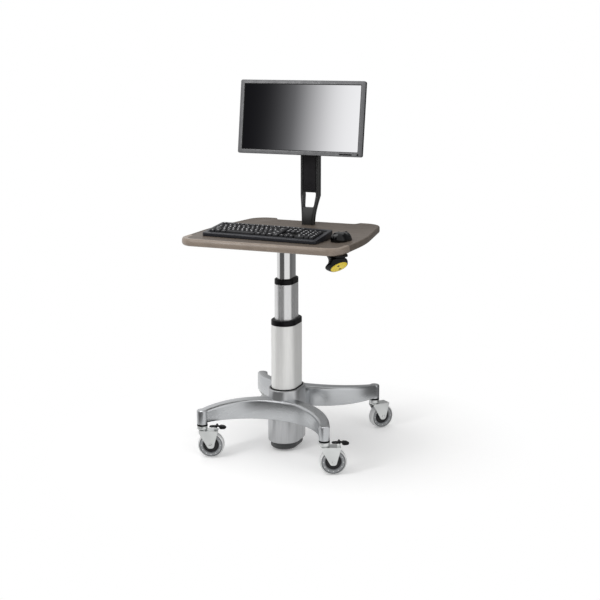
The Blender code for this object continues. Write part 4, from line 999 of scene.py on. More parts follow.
@dataclass
class Hub:
    """The oval sleeve that the column stands in, its black gasket that also paints gap shade, and its cap."""

    half_width: float = 0.0628
    half_length: float = 0.0888
    low: float = 0.034
    high: float = 0.245
    tube_half_width: float = 0.0493
    tube_half_length: float = 0.0753
    floor: float = 0.046
    bottom_round: float = 0.006
    rim_round: float = 0.004
    gasket_width: float = 0.0045
    gasket_height: float = 0.003
    cap_height: float = 0.026
    cap_inset: float = 0.010
    seat_gap: float = 0.0003
    spare: float = 0.03

    def oval(self, inset: float, height: float) -> Row:
        """The sleeve's outline moved in, at a height."""
        return lift(obround(self.half_width - inset, self.half_length - inset), height)

    def envelope(self, frame: Frame) -> Solid:
        """The sleeve's outside with a seat gap, for what nests round it."""
        ends = (self.low - self.spare, self.high + self.spare)
        rows = [self.oval(-self.seat_gap, z) for z in ends]
        return Solid().loft(rows).place(shift(frame.column))

    def build(self, kit: Kit) -> None:
        """Make the sleeve, the gasket that also paints the gap's shade, and the bottom cap."""
        place = shift(kit.frame.column)
        bore = obround(self.tube_half_width, self.tube_half_length)
        marks = lower_edge(self.low, self.bottom_round, 4) + upper_edge(self.high, self.rim_round, 4)
        rows = [self.oval(inset, z) for inset, z in marks]
        rows += [lift(bore, self.high), lift(bore, self.floor)]
        seat = Seat("base", "cast_aluminium", ("base_hub",))
        kit.make("base_hub", Solid().loft(rows).place(place), "hub", seat)

        # The black gasket is a seal that also paints the shade in the gap between tube and sleeve.
        outside = self.gasket_width
        ring = []
        for grow, rise in ((0.0, 0.0), (outside, 0.0), (outside, 0.6), (outside * 0.6, 1.0), (0.0, 1.0)):
            outline = obround(self.tube_half_width + grow, self.tube_half_length + grow)
            ring.append(lift(outline, self.high + self.seat_gap + self.gasket_height * rise))
        gasket = Solid().loft(ring, ring=True).place(place)
        kit.make("column_gasket", gasket, "seal", Seat("base", "black_seal"))

        top = self.low - self.seat_gap
        edge = self.cap_inset
        cap = [self.oval(edge + inset, z) for inset, z in lower_edge(top - self.cap_height, edge, 5)]
        cap.append(self.oval(edge, top))
        seat = Seat("base", "black_plastic", ("hub_bottom_cap",))
        kit.make("hub_bottom_cap", Solid().loft(cap).place(place), "foot", seat)


@dataclass
class BaseRails:
    """The two crescent rails with their stem bosses, and the web from the hub to the rear one."""

    apex: float = 0.109
    half_width: tuple[float, float] = (0.019, 0.029)
    height: tuple[float, float] = (0.049, 0.079)
    bottom: tuple[float, float] = (0.1375, 0.130)
    top_round: float = 0.012
    bottom_round: float = 0.004
    stations: int = 48
    boss_radius: float = 0.0205
    boss_low: float = 0.131
    boss_high: float = 0.187
    boss_round: float = 0.006
    web_half: float = 0.044
    web_corner: float = 0.010
    web_low: float = 0.140
    web_high: float = 0.196
    web_round: float = 0.007
    sharp: float = 40.0
    hub: Hub = field(default_factory=Hub)

    def crescent(self, reach: Vector, grow: float) -> Solid:
        """A rail that opens toward -Y, thicker and taller in its middle.

        Args:
            reach: how far the stems are from the base's middle along X and Y.
            grow: how far the section grows on every side.

        Returns:
            The rail in the base's frame.
        """
        rise = reach.y - self.apex
        radius = (reach.x ** 2 + rise ** 2) / (2 * rise)
        half_angle = math.asin(reach.x / radius)
        rows: list[Row] = []
        for k in range(self.stations + 1):
            share = 2 * k / self.stations - 1
            swell = 1 - share * share
            wide = self.half_width[0] + (self.half_width[1] - self.half_width[0]) * swell + grow
            low = self.bottom[0] + (self.bottom[1] - self.bottom[0]) * swell
            high = low + self.height[0] + (self.height[1] - self.height[0]) * swell + grow
            corners = box_corners(wide, low - grow, high)
            radii = (self.bottom_round, self.bottom_round, self.top_round, self.top_round)
            angle = share * half_angle
            row: Row = []
            for across, z in rounded(corners, radii, 5):
                far = radius + across
                row.append(Vector((far * math.sin(angle), far * math.cos(angle) - self.apex - radius, z)))
            rows.append(row)
        return Solid().loft(rows)

    def boss(self) -> Solid:
        """A stem boss with a round top edge and a small relief at its foot."""
        relief = self.boss_radius * 0.06
        profile = [(self.boss_radius - relief, self.boss_low), (self.boss_radius, self.boss_low + relief)]
        rim = upper_edge(self.boss_high, self.boss_round, 6)
        profile += [(self.boss_radius - inset, z) for inset, z in rim]
        return Solid().turn(profile, 40)

    def build(self, kit: Kit) -> None:
        """Make both rails and the web."""
        reach = kit.frame.at("caster_rr_swivel") - kit.frame.base
        to_base = shift(kit.frame.base)
        for name, turn in (("front_rail", 0), ("rear_rail", 180)):
            rail = self.crescent(reach, 0.0)
            for side in (-1, 1):
                rail = carve(rail, self.boss().place(shift((side * reach.x, -reach.y, 0))), Cut.JOIN)
            rail.place(to_base @ spin(turn, "Z"))
            rail = carve(rail, self.hub.envelope(kit.frame))
            kit.make(name, rail, "rail", Seat("base", "cast_aluminium", (name,)), sharp=self.sharp)

        outline = rounded(box_corners(self.web_half, 0, self.apex), [self.web_corner] * 4, 8)
        web = Solid().slab(outline, self.web_low, self.web_high, self.web_round, 4)
        web = carve(web, self.crescent(reach, self.hub.seat_gap).place(spin(180, "Z")))
        web = carve(web.place(to_base), self.hub.envelope(kit.frame))
        kit.make("hub_web", web, "rail", Seat("base", "cast_aluminium", ("hub_web",)), sharp=self.sharp)


# Casters


@dataclass
class Casters:
    """Four twin-plate swivel casters. Local X runs along the trail and local Y along the axle.

    A profile has (radius, depth) points, and a bar's stations are (place, half width, low, high).
    """

    wheel_radius: float = 0.050
    trail: float = 0.033
    gap: float = 0.0003
    tyre_half: float = 0.015
    tyre_inside: float = 0.0395
    tyre_round: float = 0.006
    tyre_lip: float = 0.0128
    tyre_step: float = 0.0004
    groove: tuple[float, ...] = (0.0052, 0.0048, 0.0042, 0.0038)
    groove_depth: float = 0.0007
    # The black line ring between the rim's flange and the tyre paints the shade of the groove there.
    flange: float = 0.0422
    line: float = 0.0442
    line_gap: float = 0.0001
    line_depth: tuple[float, float] = (0.0130, 0.0140)
    fork_inside: float = 0.018
    fork_plate: float = 0.003
    fork_nose: float = 0.012
    fork_tail: float = 0.028
    foot_depth: float = 0.011
    foot_half: float = 0.010
    fork_corner: float = 0.002
    fork_bevel: float = 0.0009
    crown_low: float = 0.1035
    crown: float = 0.004
    head_radius: float = 0.0205
    head_chamfer: float = 0.0012
    head_round: float = 0.0025
    neck_radius: float = 0.016
    head_top: float = 0.1248
    seal_low: float = 0.1252
    seal_height: float = 0.0055
    seal_radius: float = 0.0205
    seal_lips: tuple[Point2, ...] = (
        (0.0006, 0.0), (0.0, 0.0007), (0.0, 0.0022), (0.0008, 0.0028), (0.0, 0.0034),
    )
    stem_hole: float = 0.0058
    axle_radius: float = 0.005
    axle_head: tuple[Point2, ...] = (
        (0.0074, 0.0), (0.0074, 0.0008), (0.0066, 0.0022), (0.0046, 0.0032), (0.0018, 0.0037),
    )
    core_profile: tuple[Point2, ...] = (
        (0.0054, 0.012), (0.0120, 0.012), (0.0130, 0.011), (0.0135, 0.0078), (0.0150, 0.007),
        (0.0295, 0.007), (0.0305, 0.0078), (0.0312, 0.0126), (0.0320, 0.0136), (0.0340, 0.0142),
    )
    # Profile of the black ring of painted hub shade on each side of the wheel.
    shade_ring_profile: tuple[Point2, ...] = (
        (0.0142, 0.0074), (0.0288, 0.0074), (0.0292, 0.0082), (0.0286, 0.0096), (0.0150, 0.0104),
        (0.0142, 0.0098),
    )
    # The studs are real bumps; their pale tread colour also paints the highlights that they catch.
    studs: int = 12
    stud_ring: float = 0.0362
    stud_depth: float = 0.0140
    stud_profile: tuple[Point2, ...] = ((0.0019, 0.0), (0.0019, 0.0005), (0.0012, 0.0011))
    post_length: float = 0.010
    post_half: float = 0.008
    post_top: float = 0.119
    lever_half: float = 0.015
    lever_tail: float = 0.029
    lever_bevel: float = 0.0004
    knuckle: Point2 = (0.0036, 0.0044)
    knuckle_edge: float = 0.0008
    knuckle_place: Point3 = (-0.0012, 0, 0.0046)
    pedal: tuple[Station, ...] = (
        (0.0085, 0.0085, -0.0035, 0.0040), (0.0105, 0.0125, -0.0052, 0.0052),
        (0.0150, 0.0148, -0.0060, 0.0055), (0.0220, 0.0150, -0.0060, 0.0046),
        (0.0280, 0.0132, -0.0058, 0.0034), (0.0325, 0.0092, -0.0048, 0.0020),
        (0.0350, 0.0045, -0.0032, 0.0003),
    )
    arm: tuple[Station, ...] = (
        (0.0005, 0.0060, 0.0004, 0.0050), (0.0050, 0.0056, 0.0008, 0.0064),
        (0.0110, 0.0056, -0.0010, 0.0044),
    )
    ribs: int = 4
    rib_start: Point3 = (0.0160, 0.0, 0.0054)
    rib_step: Point3 = (0.0032, 0.0, -0.0004)

    def fork(self, braked: bool) -> Solid:
        """Two tapering plates under a crown with a turned head, and a brake post where there is a lever."""
        outside = self.fork_inside + self.fork_plate
        top = self.crown_low + self.crown
        foot = self.wheel_radius - self.foot_depth
        corners = [
            (self.trail - self.foot_half, foot),
            (self.trail + self.foot_half, foot),
            (self.trail + self.fork_tail, top),
            (-self.fork_nose, top),
            (-self.fork_nose, self.crown_low - self.crown),
        ]
        outline = rounded(corners, [self.foot_half] * 2 + [self.fork_corner] * 3, 7)
        solid = Solid().loft([stand(outline, -outside), stand(outline, outside)])
        far = self.trail + self.wheel_radius
        room = Solid().block((-far, -self.fork_inside, 0), (far, self.fork_inside, self.crown_low))
        solid = carve(solid, room)
        head = [(self.neck_radius, self.crown_low + self.crown / 2), (self.neck_radius, top + self.crown / 2)]
        head.append((self.head_radius - self.head_chamfer, top + self.crown))
        head.append((self.head_radius, top + 1.4 * self.crown))
        rim = upper_edge(self.head_top, self.head_round, 4)
        head += [(self.head_radius - inset, z) for inset, z in rim]
        solid = carve(solid, Solid().turn(head, 36), Cut.JOIN)
        if braked:
            tail = self.trail + self.fork_tail - self.post_length / 2
            low = (tail - self.post_length, -self.post_half, self.crown_low + self.crown / 2)
            post = Solid().block(low, (tail, self.post_half, self.post_top))
            solid = carve(solid, post, Cut.JOIN)
        return solid

    def axle(self) -> Solid:
        """An axle with a low domed rivet head on each side."""
        face = self.fork_inside + self.fork_plate + self.gap
        solid = Solid().rod(self.axle_radius, -face, face)
        for turn in (0, 180):
            dome = [(r, face + z) for r, z in self.axle_head]
            solid.add(Solid().turn(dome, 28).place(spin(turn, "X")))
        return solid.place(TO_Y)

    def core(self) -> Solid:
        """The wheel's core: hub, thin dish and a rim whose flange lies over the tyre's side."""
        half = list(self.core_profile)
        half += [(self.flange - 0.0006, 0.0142), (self.flange, 0.0138), (self.flange, 0.0132)]
        half.append((self.tyre_inside - self.gap, 0.0130))
        profile = [(r, -y) for r, y in half] + half[::-1]
        return Solid().turn(profile, 64, ring=True).place(TO_Y)

    def rings(self, ring: Sequence[Point2]) -> Solid:
        """A turned ring of (radius, depth) points on each side of the wheel."""
        solid = Solid()
        for turn in (0, 180):
            solid.add(Solid().turn(ring, 64, ring=True).place(spin(turn, "X")))
        return solid.place(TO_Y)

    def tyre(self) -> Solid:
        """The grey tread with round shoulders, a step on each side and two fine grooves."""
        shoulder = self.wheel_radius - self.tyre_round
        turn = self.tyre_half - self.tyre_round
        half = [(self.tyre_inside, self.tyre_lip), (self.line - self.tyre_step, self.tyre_lip)]
        half.append((self.line, self.tyre_half - self.tyre_step))
        half += [(r, y) for y, r in arc((turn, shoulder), self.tyre_round, 4, 90, 6)]
        floor = self.wheel_radius - self.groove_depth
        half += zip((self.wheel_radius, floor, floor, self.wheel_radius), self.groove)
        profile = half + [(r, -y) for r, y in reversed(half)]
        return Solid().turn(profile, 72, ring=True).place(TO_Y)

    def seal(self) -> Solid:
        """The dust ring with two lips."""
        low = self.seal_low
        high = low + self.seal_height - 0.0001
        wide = self.seal_radius
        ring = [(self.stem_hole, low)]
        ring += [(wide - inset, low + rise) for inset, rise in self.seal_lips]
        ring += [(wide, high - 0.0006), (wide - 0.0005, high), (self.stem_hole, high)]
        return Solid().turn(ring, 40, ring=True)

    def tongue(self, stations: Sequence[Station]) -> Solid:
        """A bar along X through its stations, with round corners."""
        rows: list[Row] = []
        for along, half, low, high in stations:
            corner = 0.4 * min(high - low, 2 * half)
            outline = rounded(box_corners(half, low, high), [corner] * 4, 5)
            rows.append([Vector((along, y, z)) for y, z in outline])
        return Solid().loft(rows)

    def build(self, kit: Kit) -> None:
        """Make the four casters; each shape is made once and placed again."""
        forks = {braked: self.fork(braked) for braked in (True, False)}
        guard = self.rings(self.shade_ring_profile)
        # The black line ring paints the shade of the groove by the tyre.
        near, far = self.flange + self.line_gap, self.line - self.line_gap
        inner, outer = self.line_depth
        line = self.rings([(near, inner), (far, inner), (far, outer), (near, outer)])
        stud = Solid().turn(self.stud_profile, 10)
        grown = kit.trees.ring.grow(stud, kit.palette["tread"], count=self.studs, radius=self.stud_ring)
        studs = Solid.from_mesh(grown).place(shift((0, 0, self.stud_depth)))
        studs.add(studs.copy().place(spin(180, "X"))).place(TO_Y)
        axle, core, tyre, seal = self.axle(), self.core(), self.tyre(), self.seal()
        for corner in Corner:
            label = corner.value
            name = f"caster_{label}"
            rolling = f"wheel_{label}"
            swivel = kit.frame.at(f"{name}_swivel")
            wheel = kit.frame.at(f"{rolling}_spin")
            trail = wheel - swivel
            turn = Matrix.Rotation(math.atan2(trail.y, trail.x), 4, "Z")
            place = shift((swivel.x, swivel.y, 0)) @ turn
            hub = shift(wheel) @ turn
            fork_seat = Seat(name, "zinc_plate", (f"{name}_fork",))
            kit.make(f"{name}_fork_look", forks[corner.braked].copy().place(place), "zinc", fork_seat,
                     self.fork_bevel)
            looks = (
                ("axle", axle, "zinc", hub, Seat(name, "steel", (f"{name}_axle",))),
                ("seal", seal, "seal", place, Seat("base", "black_seal", (f"{name}_seal",))),
                ("core", core, "core", hub, Seat(rolling, "wheel_core", (f"{name}_core",))),
                # The black ring over the dish paints the shade of the hub recess.
                ("guard", guard, "dark_core", hub, Seat(rolling, "wheel_core")),
                # The black line ring is painted shade of the groove by the tyre.
                ("line", line, "seal", hub, Seat(rolling, "black_seal")),
                # Pale studs: real bumps whose colour also paints their highlights.
                ("studs", studs, "tread", hub, Seat(rolling, "grey_tread")),
                ("tyre", tyre, "tread", hub, Seat(rolling, "grey_tread", (f"{name}_tyre",))),
            )
            for part, shape, finish, matrix, seat in looks:
                kit.make(f"{name}_{part}_look", shape.copy().place(matrix), finish, seat)
            if corner.braked:
                self.build_lever(kit, label, shift(kit.frame.at(f"brake_{label}_press")) @ turn)

    def build_lever(self, kit: Kit, label: str, place: Matrix) -> None:
        """Make a brake lever: a flat tail, a knuckle, an arm and a pointed pedal with grip ribs.

        Args:
            kit: what the cart is built with.
            label: the caster's short name.
            place: the hinge's place and turn.
        """
        body = f"brake_{label}"
        half = self.lever_half
        tail = self.tongue([(-self.lever_tail, half * 0.5, 0.0004, 0.0030),
                            (-0.022, half * 0.8, 0.0002, 0.0034), (-0.004, half * 0.8, 0.0002, 0.0038)])
        slim, wide = self.knuckle
        edge = self.knuckle_edge
        knuckle = Solid().turn([(slim, -half), (wide, edge - half), (wide, half - edge), (slim, half)], 24)
        tail.add(knuckle.place(shift(self.knuckle_place) @ TO_Y))
        tail.add(self.tongue(self.pedal))
        seat = Seat(body, "black_plastic", (f"caster_{label}_brake",))
        kit.make(f"{body}_lever", tail.place(place), "plastic", seat, self.lever_bevel)
        seat = Seat(body, "black_plastic")
        kit.make(f"{body}_arm", self.tongue(self.arm).place(place), "plastic", seat, self.lever_bevel)
        rib = Solid().slab(rectangle(0.0007, half * 0.74, 0.0006, 3), -0.0008, 0.0008, 0.0003, 2)
        kit.repeat(f"{body}_ribs", kit.trees.row, rib, "plastic", seat, place, count=self.ribs,
                   start=self.rib_start, step=self.rib_step)


# Column


@dataclass
class Column:
    """Three telescoping oval tubes with guide collars and the bracket on top."""

    outer: tuple[float, float] = (0.049, 0.075)
    middle: tuple[float, float] = (0.0375, 0.0585)
    inner: tuple[float, float] = (0.0285, 0.047)
    wall: float = 0.003
    outer_top: float = 0.496
    middle_top: float = 0.6533
    inner_top: float = 0.8106
    end_ease: float = 0.0006
    collar: float = 0.020
    collar_round: float = 0.004
    collar_rim: float = 0.0005
    parting: float = 0.0045
    parting_half: float = 0.0004
    skirt: float = 0.050
    seat_gap: float = 0.0003
    running_gap: float = 0.0004
    bracket_half: tuple[float, float] = (0.090, 0.110)
    bracket_plate: float = 0.008
    bracket_corner: float = 0.008
    bracket_edge: float = 0.0012
    plug: float = 0.030
    plug_overlap: float = 0.004
    screw: Point2 = (0.0062, 0.0035)
    screw_inset: float = 0.014

    def tube(self, half: tuple[float, float], low: float, high: float) -> Solid:
        """An oval tube with eased ends."""
        eased = self.end_ease
        marks = ((eased, low), (0.0, low + eased), (0.0, high - eased), (eased, high), (self.wall, high),
                 (self.wall, low))
        rows = [lift(obround(half[0] - inset, half[1] - inset), z) for inset, z in marks]
        return Solid().loft(rows, ring=True)

    def collar_shape(self, half: tuple[float, float], low: float, inside: tuple[float, float]) -> Solid:
        """A guide collar with a fine parting line and a skirt inside its tube.

        Args:
            half: half width and half length of the tube that it sits on.
            low: height of the tube's top.
            inside: half width and half length of the tube that it guides.

        Returns:
            The collar about the column's axis.
        """
        skirt = self.wall + self.seat_gap
        high = low + self.collar
        line = low + self.parting
        rim = self.collar_rim
        marks = [(skirt, low - self.skirt), (skirt, low), (rim, low), (0.0, low + rim)]
        marks += [(0.0, line - self.parting_half), (rim, line), (0.0, line + self.parting_half)]
        marks += upper_edge(high, self.collar_round, 5)
        rows = [lift(obround(half[0] - inset, half[1] - inset), z) for inset, z in marks]
        hole = (inside[0] + self.running_gap, inside[1] + self.running_gap)
        rows.append(lift(obround(hole[0] + self.end_ease, hole[1] + self.end_ease), high))
        rows += [lift(obround(*hole), high - self.end_ease), lift(obround(*hole), low - self.skirt)]
        return Solid().loft(rows, ring=True)

    def build(self, kit: Kit) -> None:
        """Make the tubes, the collars and the bracket."""
        place = shift(kit.frame.column)
        tubes = (
            ("outer_tube", self.outer, self.outer_top, "outer", "base", "satin_tube"),
            ("middle_tube", self.middle, self.middle_top, "middle", "middle_stage", "polished_tube"),
            ("inner_tube", self.inner, self.inner_top, "polished", "top_stage", "polished_tube"),
        )
        for name, half, high, finish, body, slot in tubes:
            solid = self.tube(half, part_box(name)[0].z, high).place(place)
            kit.make(name + "_look", solid, finish, Seat(body, slot, (name,)))
        collars = (
            ("outer_collar", self.outer, self.outer_top, self.middle, "base"),
            ("middle_collar", self.middle, self.middle_top, self.inner, "middle_stage"),
        )
        for name, half, top, inside, body in collars:
            solid = self.collar_shape(half, top + self.seat_gap, inside).place(place)
            kit.make(name + "_look", solid, "plastic", Seat(body, "black_plastic", (name,)))
        self.build_bracket(kit, place)

    def build_bracket(self, kit: Kit, place: Matrix) -> None:
        """Make the bracket between the column and the work surface, with its screws."""
        low = self.inner_top + self.seat_gap
        wide, long = self.bracket_half
        high = low + self.bracket_plate - 0.0002
        plate = Solid().slab(rectangle(wide, long, self.bracket_corner), low, high, self.bracket_edge, 2)
        shrink = self.wall + self.seat_gap
        oval = obround(self.inner[0] - shrink, self.inner[1] - shrink)
        plug = Solid().slab(oval, low - self.plug, low + self.plug_overlap)
        bracket = carve(plate, plug, Cut.JOIN).place(place)
        kit.make("top_bracket_look", bracket, "steel", Seat("top_stage", "steel", ("top_bracket",)))
        head = screw_head(*self.screw).place(spin(180, "X"))
        reach = (wide - self.screw_inset, long - self.screw_inset)
        spots = [Vector((x * reach[0], y * reach[1], low)) for x in (-1, 1) for y in (-1, 1)]
        kit.repeat("bracket_screws", kit.trees.dots, head, "steel", Seat("top_stage", "steel"), place,
                   points=spots, tilt=0.0, seed=3)


# Work surface and release


@dataclass
class WorkSurface:
    """The brown board with bowed sides, a raised lip, a recess at the back and a strip round its front."""

    front: float = 0.2776
    back: float = 0.332
    front_half: float = 0.3185
    middle_half: float = 0.3224
    back_half: float = 0.270
    low: float = 0.8192
    high: float = 0.8442
    front_corner: float = 0.058
    side_round: float = 0.900
    back_corner: float = 0.075
    recess_half: float = 0.165
    recess_depth: float = 0.032
    recess_slope: float = 0.014
    recess_round: float = 0.012
    bottom_round: float = 0.008
    top_round: float = 0.006
    lip: float = 0.0018
    lip_width: float = 0.0018
    lip_step: float = 0.0016
    strip_reach: float = 0.036
    corner_steps: int = 12

    def outline(self, inset: float) -> Outline:
        """The board's outline, moved in, from the front left corner to the front right one and on."""
        shallow = self.back - self.recess_depth
        right = [
            (self.front_half, -self.front),
            (self.middle_half, 0.0),
            (self.back_half, self.back),
            (self.recess_half + self.recess_slope, self.back),
            (self.recess_half, shallow),
        ]
        radii = [self.front_corner, self.side_round, self.back_corner, self.recess_round, self.recess_round]
        left = [(-x, y) for x, y in reversed(right)]
        corners = left[-1:] + right + left[:-1]
        return rounded(corners, radii[:1] + radii + radii[:0:-1], self.corner_steps, inset)

    def strip(self) -> Solid:
        """The rounded strip round the front edge, which ends a little way along each side."""
        middle = (self.low + self.high) / 2
        section = [
            (0.022, self.high - 0.001), (0.021, self.high + 0.0006), (0.013, self.high + 0.0020),
            (0.006, self.high + 0.0026), (0.0024, self.high + 0.0016), (0.0002, self.high - 0.0014),
            (-0.0012, middle + 0.0050), (-0.0016, middle), (-0.0010, middle - 0.0060),
            (0.0012, self.low + 0.0026), (0.0046, self.low), (0.0100, self.low - 0.0006),
            (0.0120, self.low + 0.002),
        ]
        count = 2 * (self.corner_steps + 1)
        rings = [(self.outline(inset), z) for inset, z in section]
        rows: list[Row] = []
        for k in range(-1, count + 1):
            row: Row = []
            for ring, z in rings:
                spot = Vector(ring[min(max(k, 0), count - 1)])
                if k in (-1, count):
                    spot += (Vector(ring[k]) - spot).normalized() * self.strip_reach
                row.append(Vector((*spot, z)))
            rows.append(row)
        return Solid().loft(rows)

    def build(self, kit: Kit) -> None:
        """Make the board and its strip."""
        crest = self.high + self.lip
        marks = lower_edge(self.low, self.bottom_round, 5) + upper_edge(crest, self.top_round, 5)
        inner = self.top_round + self.lip_width
        marks += [(inner, crest - 0.0003), (inner + self.lip_step, self.high + 0.0005)]
        marks.append((inner + 2 * self.lip_step, self.high))
        rows = [lift(self.outline(inset), z) for inset, z in marks]
        place = shift(kit.frame.column)
        seat = Seat("top_stage", "taupe_board", ("work_surface",))
        kit.make("work_surface_look", Solid().loft(rows).place(place), "board", seat)
        # The strip's lighter taupe is partly a painted highlight of the lit front edge.
        kit.make("front_strip", self.strip().place(place), "bumper", Seat("top_stage", "taupe_board"))


@dataclass
class ReleaseKnob:
    """The black spool under the front right corner and its yellow button with two small arrows."""

    place: Point3 = (0.296, -0.2256, 0.7745)
    turn: float = -34.0
    lean: float = 41.0
    drop: float = 0.0447
    face: float = 0.0335
    bell: float = 0.0413
    bell_behind: float = 0.0139
    bell_slip: float = 0.006
    waist: float = 0.0295
    flange: float = 0.0375
    flange_height: float = 0.006
    flange_inward: float = 0.007
    button: float = 0.0313
    button_thick: float = 0.006
    proud: float = 0.0015
    travel: float = 0.004
    stalk: float = 0.008
    stalk_length: float = 0.012
    gap: float = 0.0004
    seat_gap: float = 0.0003
    steps: int = 64
    waist_steps: int = 14
    bell_steps: int = 7
    arrow_reach: float = 0.0140
    arrow_turns: tuple[float, ...] = (41.0, 221.0)
    arrow_half: tuple[Point2, ...] = ((-0.0060, 0.0026), (-0.0005, 0.0026), (-0.0005, 0.0062))
    arrow_tip: float = 0.0075
    arrow_heights: Point2 = (-0.0004, 0.0009)

    def loop(self, centre: Vector, radius: float, lean: float) -> Row:
        """A circle in the button's frame, its plane leaning back from the button's face."""
        out = Vector((math.cos(lean), 0, -math.sin(lean)))
        return [centre + out * x + Vector((0, y, 0)) for x, y in circle(radius, self.steps)]

    def spool(self, aim: Matrix) -> Solid:
        """The spool in the button's frame: a flange under the board, a waist, a bell and the button's well.

        Args:
            aim: the button's place and turn.

        Returns:
            The spool.
        """
        into = aim.to_3x3().transposed()
        upright = math.radians(self.lean)
        seat = into @ Vector((-self.flange_inward, 0, self.drop - self.seat_gap))
        flange = into @ Vector((-self.flange_inward, 0, self.drop - self.flange_height))
        bell = Vector((0, -self.bell_slip, -self.bell_behind))
        rows = [self.loop(seat, self.flange - 0.0006, upright)]
        rows.append(self.loop(seat.lerp(flange, 0.15), self.flange, upright))
        for k in range(self.waist_steps + 1):
            t = k / self.waist_steps
            ends = self.flange * (2 * t - 1) * (t - 1) + self.bell * t * (2 * t - 1)
            radius = ends + self.waist * 4 * t * (1 - t)
            rows.append(self.loop(flange.lerp(bell, t), radius, upright * (1 - t)))
        for k in range(1, self.bell_steps + 1):
            angle = math.pi / 2 * k / self.bell_steps
            radius = self.face + (self.bell - self.face) * math.cos(angle)
            rows.append(self.loop(bell * (1 - k / self.bell_steps), radius, 0.0))
        well = Vector((0, 0, self.proud - self.button_thick - self.travel - self.seat_gap))
        deep = well - Vector((0, 0, self.stalk_length + self.travel))
        room = self.button + self.gap
        hole = self.stalk + self.gap
        for centre, radius in ((Vector(), room), (well, room), (well, hole), (deep, hole)):
            rows.append(self.loop(centre, radius, 0.0))
        return Solid().loft(rows)

    def cap(self) -> Solid:
        """The button with a slightly domed face and its stalk."""
        under = self.proud - self.button_thick
        profile = [(self.stalk, under - self.stalk_length), (self.stalk, under), (self.button, under)]
        profile += [(self.button, self.proud - 0.0016), (self.button - 0.0006, self.proud - 0.0006)]
        profile += [(self.button - 0.002, self.proud), (self.button * 0.6, self.proud + 0.0005)]
        profile.append((self.button * 0.2, self.proud + 0.0007))
        return Solid().turn(profile, self.steps)

    def arrow(self) -> Solid:
        """A small arrow that points along X, as a thin plate."""
        lower = [(x, -y) for x, y in self.arrow_half]
        outline = lower + [(self.arrow_tip, 0.0)] + list(reversed(self.arrow_half))
        return Solid().loft([lift(outline, self.proud + height) for height in self.arrow_heights])

    def build(self, kit: Kit) -> None:
        """Make the spool, the button and its marks."""
        aim = shift(kit.frame.column + Vector(self.place)) @ spin(self.turn, "Z") @ spin(180 - self.lean, "Y")
        seat = Seat("top_stage", "black_gloss", ("release_housing",))
        kit.make("release_spool", self.spool(aim).place(aim), "gloss", seat)
        seat = Seat("release", "yellow_plastic", ("release_button",))
        kit.make("release_face", self.cap().place(aim), "yellow", seat)
        marks = Solid()
        for turn in self.arrow_turns:
            marks.add(self.arrow().place(spin(turn, "Z") @ shift((self.arrow_reach, 0, 0))))
        kit.make("release_arrows", marks.place(aim), "mark", Seat("release", "yellow_plastic"))


# Keyboard and mouse


LETTER_SWELL = 0.025
LETTER_RAISE = 0.00015
SAME_SPOT = 0.000001


def lettering(text: str, size: float) -> Solid:
    """Raised letters, centred on the origin.

    Args:
        text: what is written.
        size: height of the letters' body.

    Returns:
        The letters as a thin solid.
    """
    curve = bpy.data.curves.new("legend", "FONT")
    curve.body = text
    curve.size = size
    curve.align_x = "CENTER"
    curve.align_y = "CENTER"
    curve.offset = LETTER_SWELL * size
    curve.extrude = LETTER_RAISE
    curve.resolution_u = 2
    sign = bpy.data.objects.new("legend", curve)
    bpy.context.scene.collection.objects.link(sign)
    letters = Solid.from_mesh(evaluated_mesh(sign))
    bpy.data.objects.remove(sign)
    bpy.data.curves.remove(curve)
    bmesh.ops.remove_doubles(letters.mesh, verts=letters.mesh.verts, dist=SAME_SPOT)
    return letters


@dataclass(frozen=True)
class Key:
    """One key: its legend, its middle in the key field and its width in units."""

    legend: str
    middle: Point2
    units: float


